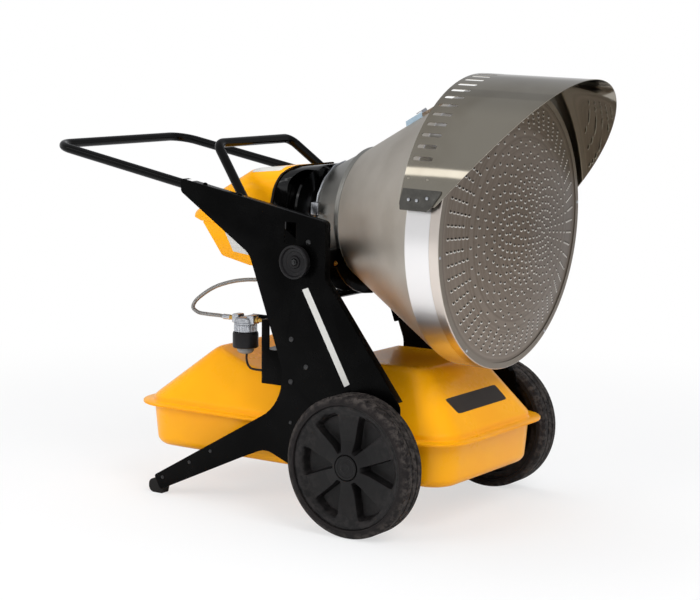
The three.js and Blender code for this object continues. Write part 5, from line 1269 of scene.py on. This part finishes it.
# %% Form the cover and the casing
TAIL, TAIL_RUN, HOUSING_SECTION = -418, 31, 8
ROOF = rounded([(TAIL, 66, 0), (-351, 125, 40), (-268, 177, 60), (-79, 201, 0), (0, 211, 0), (0, 60, 0),
                (TAIL, 60, 0)], 6)[:-2]


def housing_section(x, roof, slope, inwards, low):
    """One section across the housing, from its left foot over the roof to its right foot."""
    side = blend(108, 120, within(x, TAIL, TAIL + TAIL_RUN)) - inwards
    top = roof - inwards * hypot(1, slope)
    radius = min(56 - inwards, (roof - 44) * 0.6 - inwards)
    turns = [pi / 2 * k / HOUSING_SECTION for k in range(HOUSING_SECTION + 1)]
    half = [(x, side, low)] + [(x, side - radius * (1 - cos(turn)), top - radius * (1 - sin(turn))) for turn in turns]
    return half + [(px, -py, pz) for px, py, pz in reversed(half)]


def housing_form(name, inwards, low, tail_low, finish=None):
    line, sections = [ROOF[0], ROOF[0].lerp(ROOF[1], 0.45), *ROOF[1:]], []
    for i, point in enumerate(line):
        way = line[min(i + 1, len(line) - 1)] - line[max(i - 1, 0)]
        foot = blend(tail_low, low, within(point.x, TAIL, TAIL + TAIL_RUN))
        sections.append(housing_section(point.x + (inwards if i == 0 else 0), point.y, way.y / way.x, inwards, foot))
    return skin(name, sections, finish, TILT)


def past_edge(shift, x, low, high, half):
    """A block on one side of the cover's slanted front edge, from the edge to x."""
    shares = ((0, 0), (0.055, 0.144), (0.11, 0.33), (0.213, 0.546), (0.315, 0.72), (0.5, 0.845), (0.76, 0.94), (1, 1))
    edge = [(blend(-182, -128, back) + shift, blend(104, 201, up)) for back, up in shares]
    line = [(x, low), (edge[0][0], low), *edge, (edge[-1][0], high), (x, high)]
    return slab("block", line, -half, half, None, TILT)


cover = housing_form("burner_cover_moulded", 0, 44.3, 50, orange_paint)
cut(cover, housing_form("inside", 2, 38, 38), past_edge(0, 6, 38, 257, 126))
ready(bevel(cover, 0.6, 2, 60), "head", "burner_cover", angle=44)
casing = housing_form("burner_casing_pressed", 2.3, 44.3, 44.3, black_gloss)
cut(casing, housing_form("inside", 4.3, 38, 38))
kept = rounded([(-204, 38, 0), (-140, 38, 0), (-140, 188, 42), (-66, 188, 0), (-66, 257, 0), (-204, 257, 0)], 10)
cut(casing, slab("kept", kept, -120, 120, None, TILT), operation="INTERSECT")
ready(bevel(casing, 0.8, 2, 50), "head", "burner_casing", angle=44)

# %% [markdown]
# ## The cover's edging
# A black rubber strip is pushed over the cover's raw front edge. A tube along the edge would stand out too far. The
# cover's own form, a little proud and cut on both sides of the edge, hugs it.

# %% Cut the edging
strip = housing_form("cover_edging", -1.1, 44.3, 44.3, foot_rubber)
cut(strip, housing_form("inside", 0.1, 30, 30), past_edge(1.6, 6, 38, 257, 140))
cut(strip, past_edge(-3.4, -430, 20, 290, 140))
ready(bevel(strip, 0.5, 2, 40), "head", angle=40)

# %% [markdown]
# ## The control box
# A folded orange box hangs under the cover. Its far wall carries the panel, so it has one real opening for each of
# the switch, the lamp, the dial and the inlet. Painted openings would show nothing behind them.

# %% Fold the control box
PANEL_X, PANEL_Z, PANEL_WIDTH = -300, 23, 96


def make_control_box():
    outside = rounded([(-387, 44, 2), (-325, -33, 16), (-243, -48, 14), (-90, -48, 4), (-90, 12, 2),
                       (-140, 44, 2)], 5)
    inside = rounded([(-383.6, 50, 0), (-324, -30.8, 14), (-242.8, -46, 12), (-92, -46, 2), (-92, 22, 0),
                      (-139, 50, 0)], 5)
    box = slab("control_box_folded", outside, -118, 118, orange_paint, TILT)
    cut(box, slab("inner", inside, -116, 116, None, TILT))
    rocker, lamp, dial, inlet = (PANEL_X + share * PANEL_WIDTH for share in (-0.36, -0.18, 0.03, 0.33))
    outlines = [[(x + a * wide, PANEL_Z + b * high) for a, b in SQUARE]
                for x, wide, high in ((rocker, 8.5, 12.5), (inlet, 13.8, 10.8))]
    outlines += [circle(radius, 20, (x, PANEL_Z)) for x, radius in ((lamp, 4.4), (dial, 5))]
    cut(box, *[slab("hole", outline, 110, 124, None, TILT) for outline in outlines])
    return ready(bevel(box, 0.7, 2, 50), "head", "control_box", angle=40)


make_control_box()

# %% [markdown]
# ## Folded pieces that keep their form
# Brackets, bars and boxes already have the right form in the CAD, so drawing them again would gain nothing. Their
# meshes are copied, coplanar faces are joined up again, and every edge gets a small round that catches the light.

# %% Round the edges of the folded pieces
slot_of = {part["node"]: part["material_slot"] for part in frame["record"]["subparts"]}


def dressed(name, width):
    """The CAD mesh again, with rounded edges and a true finish."""
    solid = nodes[name]
    mesh = solid.data.copy()
    with editing(mesh) as work:
        work.transform(solid.matrix_world)
        bmesh.ops.remove_doubles(work, verts=work.verts, dist=1e-6)
        bmesh.ops.dissolve_limit(work, angle_limit=radians(1), verts=work.verts, edges=work.edges)
    made = bevel(make_object(name + "_finished", mesh, FINISHES[slot_of[name]]), width)
    return ready(made, solid["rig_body"], name, angle=36)


for name, width in (
        ("tank_bar_front", 1.2), ("tank_bar_rear", 1.2), ("cradle", 1.2), ("filter_bracket", 1.0),
        ("burner_chassis", 0.6), ("burner_flange", 0.8), ("blower_motor", 1.2), ("fuel_pump", 1.5), ("igniter", 1.5),
        ("cone_lug", 0.6), ("control_panel", 0.8), ("power_inlet", 0.8), ("power_switch", 0.8),
        ("stub_axle_right", 0.8), ("stub_axle_left", 0.8), ("hose_fitting", 0.6), ("filler_neck", 0.8)):
    dressed(name, width)

# %% [markdown]
# ## Tilt knobs
# A knob is a dished cup with fine grooves round its wall, and a nut on the stud in its middle. A toothed outline
# would run its teeth over the whole height. The punching tree cuts sixty short grooves in the wall alone.

# %% Turn the knobs
KNOB_GAP, KNOB_RADIUS, GRIPS = 0.3, 38, 60


def make_knob(name, side):
    """Lengths run outwards from the knob's foot, which stands just off the plate."""
    foot = Matrix.Translation(((PLATE_OUTER + KNOB_GAP) * MM, 0, 0))
    place = Matrix.Translation((PIVOT.x, 0, PIVOT.z)) @ Matrix.Rotation(side * pi / 2, 4, "Z") @ foot
    profile = rounded([
        (18, 0, 0.6), (18, 5, 1.5), (30, 6, 5), (36.5, 9, 4), (KNOB_RADIUS, 20, 1), (37.8, 25.4, 1.2), (35.4, 26, 1),
        (33, 24.6, 1), (31, 19.4, 2), (24.6, 17, 1), (23.4, 18, 0.6), (22, 16.6, 1), (14.5, 15.2, 2), (13, 19.6, 0.8),
        (8.6, 19.6, 0.8), (8.4, 16.4, 0.6), (0.01, 16.4, 0), (0.01, 13.3, 0), (7.3, 13.3, 0), (7.3, 0, 0)], 3)
    cup = turned("tilt_knob_cup_" + name, profile, black_plastic, place, 96)
    groove = prism("groove", [(5.5 * x, 0.4 * y) for x, y in SQUARE], -0.8, 2)
    repeated(punch, cup, groove, [ring_spot(place, 15, KNOB_RADIUS, 2 * pi * k / GRIPS) for k in range(GRIPS)],
             black_plastic)
    nut = turned("nut", [(0, 16.2), (7.6, 16.2), (7.6, 21), (7, 21.8), (0, 21.8)], dark_zinc, place, 6)
    stud = turned("stud", [(0, 21.6), (3.6, 21.6), (3.6, 24), (2.8, 24.8), (0, 24.8)], dark_zinc, place, 24)
    return ready(unite("tilt_knob_cup_" + name, cup, nut, stud), nodes["tilt_knob_" + name]["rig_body"],
                 "tilt_knob_" + name)


for name, side in SIDES:
    make_knob(name, side)

# %% [markdown]
# ## The fuel filter
# A cast head has a boss at each port. A ribbed ring nut holds a black bowl with a pale drain plug under it. Nothing
# here needs more than turned profiles and stacks of one outline. A ribbed outline serves the ring and the cap alike.

# %% Build the filter
PIPE_SIDE, PIPE_HEIGHT = -225, 441.6
FILTER = Matrix.Translation(spot(-357, PIPE_SIDE, 0))


def ribbed(radius, depth, count, foot, tip):
    """An outline with ribs: foot and tip are half a rib's width, as shares of the pitch."""
    rib = ((-foot, radius - depth), (-tip, radius), (tip, radius), (foot, radius - depth))
    turns = [(2 * pi * (k + shift) / count, away) for k in range(count) for shift, away in rib]
    return [(away * cos(turn), away * sin(turn)) for turn, away in turns]


dome = turned("dome", [
    (0, 430.6), (26.2, 430.6), (27, 431.4), (27, 433.4), (26.2, 434.2), (24.6, 434.6), (24.4, 441.5), (23, 444.4),
    (19, 446.6), (12, 447.6), (0, 448)], zinc, FILTER @ UPRIGHT, 64)
bosses = [bevel(slab("boss", rounded(corners, 4), -237, -213, zinc), 1.6, 3) for corners in (
    [(-388, 432, 2), (-371, 432, 0), (-369, 452.6, 3), (-388, 452.6, 4)],
    [(-344, 432, 0), (-326, 432, 2), (-326, 452.6, 4), (-346, 452.6, 3)])]
ready(unite("filter_head_cast", dome, *bosses), "chassis", "filter_head", angle=36)
ring = standing("filter_ring_ribbed", ribbed(27, 1.4, 24, 0.3, 0.2), [
    (412.3, 0.93), (413.2, 0.96), (413.8, 1), (428.2, 1), (428.9, 0.96), (430.3, 0.95)], zinc, FILTER)
ready(ring, "chassis", "filter_ring", angle=30)
bowl = turned("filter_bowl_moulded", [
    (0, 376), (19, 376), (20.5, 375.2), (28, 375.4), (29.6, 376.6), (30, 378.4), (30, 407.5), (29.2, 410.4),
    (28.4, 411.9), (0, 411.9)], black_plastic, FILTER @ UPRIGHT, 64)
plug = turned("plug", [(0, 360.2), (8, 360.7), (14, 362.6), (18.4, 366.2), (20, 370.6), (20, 375.6), (0, 375.6)],
              grey_plastic, FILTER @ UPRIGHT, 48)
ready(unite("filter_bowl_moulded", bowl, plug), "chassis", "filter_bowl", angle=36)

# %% [markdown]
# ## Nuts and the hose's sleeve
# Six-sided brass nuts close the filter's ports, and the hose ends in a crimped sleeve. Both are turned: six steps
# give a nut, with its corners chamfered by the same profile.

# %% Turn the nuts and the sleeve
def along_pipe(x):
    return Matrix.Translation(spot(x, PIPE_SIDE, PIPE_HEIGHT))


def brass_nut(x, length, radius=8.0):
    return turned("nut", [(0, 0), (radius * 0.88, 0), (radius, 0.9), (radius, length - 0.9), (radius * 0.88, length),
                          (0, length)], brass, along_pipe(x), 6)


def neck(x, profile):
    return turned("neck", profile, brass, along_pipe(x), 32)


outlet_neck = neck(-400, [(0, -1), (5.6, -1), (5.6, 1.2), (4.9, 1.8), (4.9, 6), (0, 6)])
inlet_neck = neck(-319.7, [(0, 0), (5, 0), (5, 4.4), (4.2, 6), (0, 6)])
ready(unite("filter_outlet_brass", brass_nut(-394.3, 6), outlet_neck), "chassis", "filter_outlet_fitting", angle=30)
ready(unite("filter_inlet_brass", brass_nut(-325.7, 6), inlet_neck), "chassis", "filter_inlet_fitting", angle=30)
sleeve = turned("hose_sleeve_crimped", [
    (4.7, -20), (5.6, -20), (6.1, -19), (6.1, -15.4), (5.6, -14.6), (5.6, -13.4), (6.1, -12.6), (6.1, -9.4),
    (5.6, -8.6), (5.6, -7.4), (6.1, -6.6), (6.1, -1.2), (5.4, 0), (4.7, 0)], zinc, along_pipe(-400.9), 32)
ready(sleeve, "chassis", angle=30)
ready(unite("supply_nut_brass", brass_nut(-283.6, 7), brass_nut(-276.4, 3.4, 6.4)), "chassis", angle=30)

# %% [markdown]
# ## Filler cap and gauge
# The cap is a ribbed plastic cup over the neck, hollow so that it can turn there. The gauge is a black ring round a
# pale dome. A glass dome would hide its own face at this size, so the dome itself is pale.

# %% Turn the cap and the gauge
VALLEY = tank_top(FILLER[0])
cap_place, gauge_place = (Matrix.Translation(spot(x, y, VALLEY)) for x, y, _ in (FILLER, GAUGE))
cap = standing("filler_cap_ribbed", ribbed(34, 1.3, 30, 0.26, 0.16), [
    (5.3, 0.985), (6.1, 1), (24.8, 0.995), (27.3, 0.965), (28.7, 0.92)], black_plastic, cap_place)
cut(cap, turned("bore", [(0, 4.3), (26.3, 4.3), (26.3, 22.3), (0, 22.3)], None, cap_place @ UPRIGHT, 48))
cap_top = turned("cap_top", [(0, 28.3), (31, 28.3), (30.4, 28.9), (27, 29.3), (24, 28.5), (9, 28.3), (8, 29.3),
                             (0, 29.3)], black_plastic, cap_place @ UPRIGHT, 64)
ready(unite("filler_cap_ribbed", cap, cap_top), nodes["filler_cap"]["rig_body"], "filler_cap")
gauge_ring = turned("gauge_ring", [(18, 13), (18, 17), (18.6, 18), (20.4, 18), (21, 17.2), (21, -1.5), (18, -1.5)],
                    black_plastic, gauge_place @ UPRIGHT, 48)
gauge_face = turned("gauge_face", [(0, 14.6), (10, 14.3), (17.9, 13), (17.9, -1.4), (0, -1.4)], grey_plastic,
                    gauge_place @ UPRIGHT, 48)
ready(unite("fuel_gauge_round", gauge_ring, gauge_face), "chassis", "fuel_gauge")

# %% [markdown]
# ## The burner's dark front
# Ahead of the cover the burner is all black: a sheet closes the casing, a shroud goes round the blast tube, and a
# folded apron covers the front of the control box. A free outline could miss the casing's round shoulders, so the
# sheet is a slice of the housing's own form.

# %% Close the front of the burner
front_sheet = housing_form("burner_front_sheet", 5.2, 16, 16, black_gloss)
cut(front_sheet, slab("kept", ((-152.7, 0), (-151.4, 0), (-151.4, 230), (-152.7, 230)), -130, 130, None, TILT),
    operation="INTERSECT")
cut(front_sheet, turned("port", [(0, -160), (53, -160), (53, -140), (0, -140)], None, HEAD, 64))
ready(front_sheet, "head", angle=30)
shroud = turned("blast_tube_shroud", [
    (52.6, -151), (96, -151), (97, -150), (97, -132), (94, -128), (72, -122), (64, -114), (62, -66), (60, -64),
    (52.6, -64)], black_gloss, HEAD, 96)
ready(shroud, "head", angle=30)
apron = slab("control_box_apron", ((-160, -49.8), (-88.2, -49.8), (-88.2, 14), (-139, 46.6), (-160, 46.6)), -119.6,
             119.6, black_coat, TILT)
cut(apron, slab("inside", ((-170, -48.4), (-89.7, -48.4), (-89.7, 60), (-170, 60)), -118.3, 118.3, None, TILT))
ready(bevel(apron, 0.3, 1, 40), "head", angle=30)

# %% [markdown]
# ## Screws, rivets and bolts
# Each kind of fastener is one head set down by the scattering tree at a list of places. Joining copies in a loop
# would need each one's turn worked out, which the tree takes from its aim and course.

# %% Set the fasteners
def both_sides(places, aim=(0, 1, 0)):
    """Places in millimetres on the left side, with their mirror images on the right."""
    return [(spot(x, side * y, z), Vector((aim[0], side * aim[1], aim[2])).normalized(), Vector((1, 0, 0)))
            for x, y, z in places for side in (-1, 1)]


def head_spots(reaches, radius, turn, sides=(-1, 1)):
    """Places round the head's axis, with the turn in degrees from the top."""
    return [ring_spot(HEAD, reach, radius, radians(side * turn)) for reach in reaches for side in sides]


def tilt_spots(x, y, z, aim):
    """A place beside the tilt axis in the head's lean, with its mirror image."""
    return [(TILT @ (Vector((x, side * y, z)) * MM), facing(TILT, aim[0], side * aim[1], aim[2]),
             facing(TILT, 0, 0, 1)) for side in (-1, 1)]


scattered("plate_screws", dome_head(6.6, 3.4), both_sides(
    [(x, PLATE_OUTER, z) for x, z in ((-203, 413), (-162, 354), (-204, 316), (-158, 635))]), dark_zinc, "chassis")
scattered("leg_screws", dome_head(4.4, 2.2), both_sides(
    [(x, PLATE_OUTER, z) for x, z in ((-204, 222), (-435, 125), (-498, 90), (-580, 42))]), dark_zinc, "chassis")
scattered("flange_bolts", dome_head(6, 4), both_sides([(-457, 247, 748.4), (-358, 247, 729.5)], (0.187, 0, 0.982)),
          black_coat, "chassis")
scattered("hood_rivets", dome_head(3.6, 1.8), head_spots((305, 352), 328.4, 67.8), mirror_steel, "head")
scattered("hood_top_rivets", dome_head(3.6, 2.2), head_spots((305, 352), 335.9, 12, (1,)), mirror_steel, "head")
scattered("clip_screws", dome_head(3.8, 2.4), [
    place for reach, turn in ((318, 76), (338, 76.1), (362, 75)) for place in head_spots((reach,), 331.6, turn)],
          zinc, "head")
scattered("ring_screws", dome_head(3.4, 1.9), [
    (on_head(DISC_REACH, 307.5, turn), axis_way, off_axis(HEAD, turn))
    for turn in map(radians, (263, 215, 145, 83, 325, 23))], zinc, "head")
scattered("flange_screws", hex_head(3.6, 3), tilt_spots(-52, 131, 84, (0, 1, 0)), brass, "head")
scattered("cradle_bolts", hex_head(4, 3.4), tilt_spots(28, 158, -11, (1, 0, 0)), brass, "head")

# %% [markdown]
# ## The hood's clips
# A clip laps each lower corner of the hood from outside and turns in to the band. A flat plate would stand off at
# one end, so its outline is laid round the axis, once at the hood's surface and once further out.

# %% Bend the clips
def make_clip(name, side):
    """Outlines are (reach, degrees from the top), bent round the head's axis."""
    outline = rounded([(299, 71.9, 0.6), (396, 71.9, 0.6), (374, 78.6, 3), (364, 79.9, 2), (299, 79.9, 2.2),
                       (296, 77, 1.5)], 5)
    lap = stack("lap", [[on_head(p.x, radius, radians(side * p.y)) for p in outline] for radius in (327.4, 330.4)],
                clip_steel)
    section = ((316, 78.4), (328, 78.4), (328, 79.2), (316, 79.2))
    web = stack("web", [[on_head(reach, radius, radians(side * turn)) for radius, turn in section]
                        for reach in (300, 356)], clip_steel)
    return ready(unite("hood_clip_" + name, lap, web), "head", "visor_clip_" + name, angle=40)


for name, side in SIDES:
    make_clip(name, side)

# %% [markdown]
# ## Labels
# Labels are left blank. Each could be a flat card where its surface is flat. On the tank and the cover a grid of
# points is dropped along one direction on to the piece, and the patch stands a third of a millimetre off.

# %% Stick the blank labels on
LABEL_BACK, LABEL_FRONT = 0.05, 0.35
DROP_START, DROP_LENGTH = 60, 200


def round_corner(u, v, wide, high, radius):
    """Pulls a place on a wide by high sheet inside its rounded corners."""
    point = Vector((u * wide, v * high))
    middle = Vector((min(max(point.x, radius), wide - radius), min(max(point.y, radius), high - radius)))
    away = point - middle
    if away.length > radius:
        point = middle + away * (radius / away.length)
    return point.x / wide, point.y / high


def patch(name, target, corners, aim, finish, body, across=14, down=8, place=AXLE, radius=5):
    """A thin sheet over a surface between four corners, in millimetres, dropped along a direction."""
    mesh = target.data
    tree = BVHTree.FromPolygons([v.co for v in mesh.vertices], [p.vertices for p in mesh.polygons])
    a, b, c, d = (place @ (Vector(p) * MM) for p in corners)
    way = facing(place, *aim).normalized()
    top, bottom = [], []
    for j in range(down + 1):
        for i in range(across + 1):
            u, v = round_corner(i / across, j / down, (b - a).length / MM, (d - a).length / MM, radius)
            start = a.lerp(b, u).lerp(d.lerp(c, u), v) - way * (DROP_START * MM)
            hit, normal, _, _ = tree.ray_cast(start, way, DROP_LENGTH * MM)
            if hit is None:
                raise ValueError("label " + name + " misses its surface")
            side = normal if normal.dot(way) < 0 else -normal
            top.append(hit + side * (LABEL_FRONT * MM))
            bottom.append(hit + side * (LABEL_BACK * MM))
    wide, count = across + 1, len(top)
    faces = [(k, k + 1, k + wide + 1, k + wide) for j in range(down) for k in range(j * wide, j * wide + across)]
    faces += [tuple(count + k for k in reversed(face)) for face in faces]
    rim = [*range(across), *range(across, count - 1, wide), *range(count - 1, down * wide, -1),
           *range(down * wide, 0, -wide)]
    faces += [(a, b, count + b, count + a) for a, b in zip(rim, [*rim[1:], rim[0]])]
    return ready(from_faces(name, top + bottom, faces, finish), body, angle=30)


patch("tank_nameplate", upper, [(121, -126, 293), (121, 96, 293), (148, 108, 261), (148, -110, 261)],
      (-0.78, 0, -0.63), label_dark, "chassis", 20, 6)
patch("cover_label", cover, [(-262, -94, 230), (-176, -94, 230), (-176, -34, 230), (-262, -34, 230)], (0, 0, -1),
      label_paper, "head", 14, 14, TILT)
box_label = rounded([(-319, 26, 2), (-314, 30, 2), (-246, 30, 2), (-246, -24, 2), (-292, -20, 2)], 3)
ready(slab("box_label", box_label, -118.45, -118.1, label_paper, TILT), "head", angle=30)
stripe = rounded([(-174, 528, 1), (-158, 534, 1), (-44, 328, 1), (-58, 320, 1)], 3)
for _, side in SIDES:
    low, high = sorted(side * (PLATE_OUTER + off) for off in (LABEL_BACK, LABEL_FRONT))
    ready(slab("plate_stripe", stripe, low, high, label_paper), "chassis", angle=30)

# %% [markdown]
# ## The sensor stem
# A short stiff stem leads from the filter's plug into the bracket's box. It needs no tree of its own, because the
# hose's sweep makes it too.

# %% Bend the stem
stem_line = through([spot(*p) for p in ((-351, -228, 362), (-350.5, -230, 352), (-346, -233, 341), (-337, -237, 333),
                                        (-326, -240, 330), (-286, -241, 330))], 8)
stem, stem_length = swept("sensor_stem", stem_line, 2.6, foot_rubber, 12)
ready(stem, "chassis", angle=40)
print("stem length", round(stem_length, 4))

# %% [markdown]
# ## The lug's tag
# A small tag is stuck on the cone's lug, beside a fold of its sheet. They could be placed by eye, but the lug's
# turn and distance from the axis are measured from the frame, and both follow the cone's slope from there.

# %% Fold the lug's sheets
lug_points = [HEAD.inverted() @ nodes["cone_lug"].matrix_world @ v.co / MM for v in nodes["cone_lug"].data.vertices]
lug_middle = sum(lug_points, Vector()) / len(lug_points)
LUG_TURN, LUG_REACH = atan2(lug_middle.y, lug_middle.z), 214
LUG_RADIUS = min(hypot(p.y, p.z) for p in lug_points if abs(p.x - LUG_REACH) < 20)
CONE_SLOPE = (MOUTH - CONE_ROOT) / (BAND_REAR - CONE_REAR)
print("lug at", round(degrees(LUG_TURN), 2), "degrees,", round(LUG_RADIUS, 1), "mm off the axis")


def lug_point(reach, across, rise):
    """A place by the lug: along the cone, round it and off it, in millimetres."""
    radius = LUG_RADIUS + (reach - LUG_REACH) * CONE_SLOPE
    return HEAD @ Matrix.Rotation(-LUG_TURN, 4, "X") @ (Vector((reach, across, radius + rise)) * MM)


def lug_sheet(name, corners, low, high, finish):
    rows = [[lug_point(reach, across, rise) for reach, rise in corners] for across in (low, high)]
    return ready(stack(name, rows, finish), "head", angle=30)


lug_sheet("lug_tag", [(152, 0.3), (197, 0.3), (197, 20), (152, 20)], -10.9, -10.1, tag_blue)
lug_sheet("lug_fold", [(195, 0.3), (262, 0.3), (246, 15), (195, 16)], -10.2, -9, browned_zinc)

# %% [markdown]
# ## Finishes for the CAD pieces that keep their shape
# Pieces deep inside, and those whose solid is already the right shape, could be copied too. They keep their mesh
# instead, and get a real finish.

# %% Paint what is left
for name, solid in nodes.items():
    solid.data.materials.clear()
    solid.data.materials.append(FINISHES[slot_of[name]].material)
print("painted", len(nodes), "CAD pieces")

# %% [markdown]
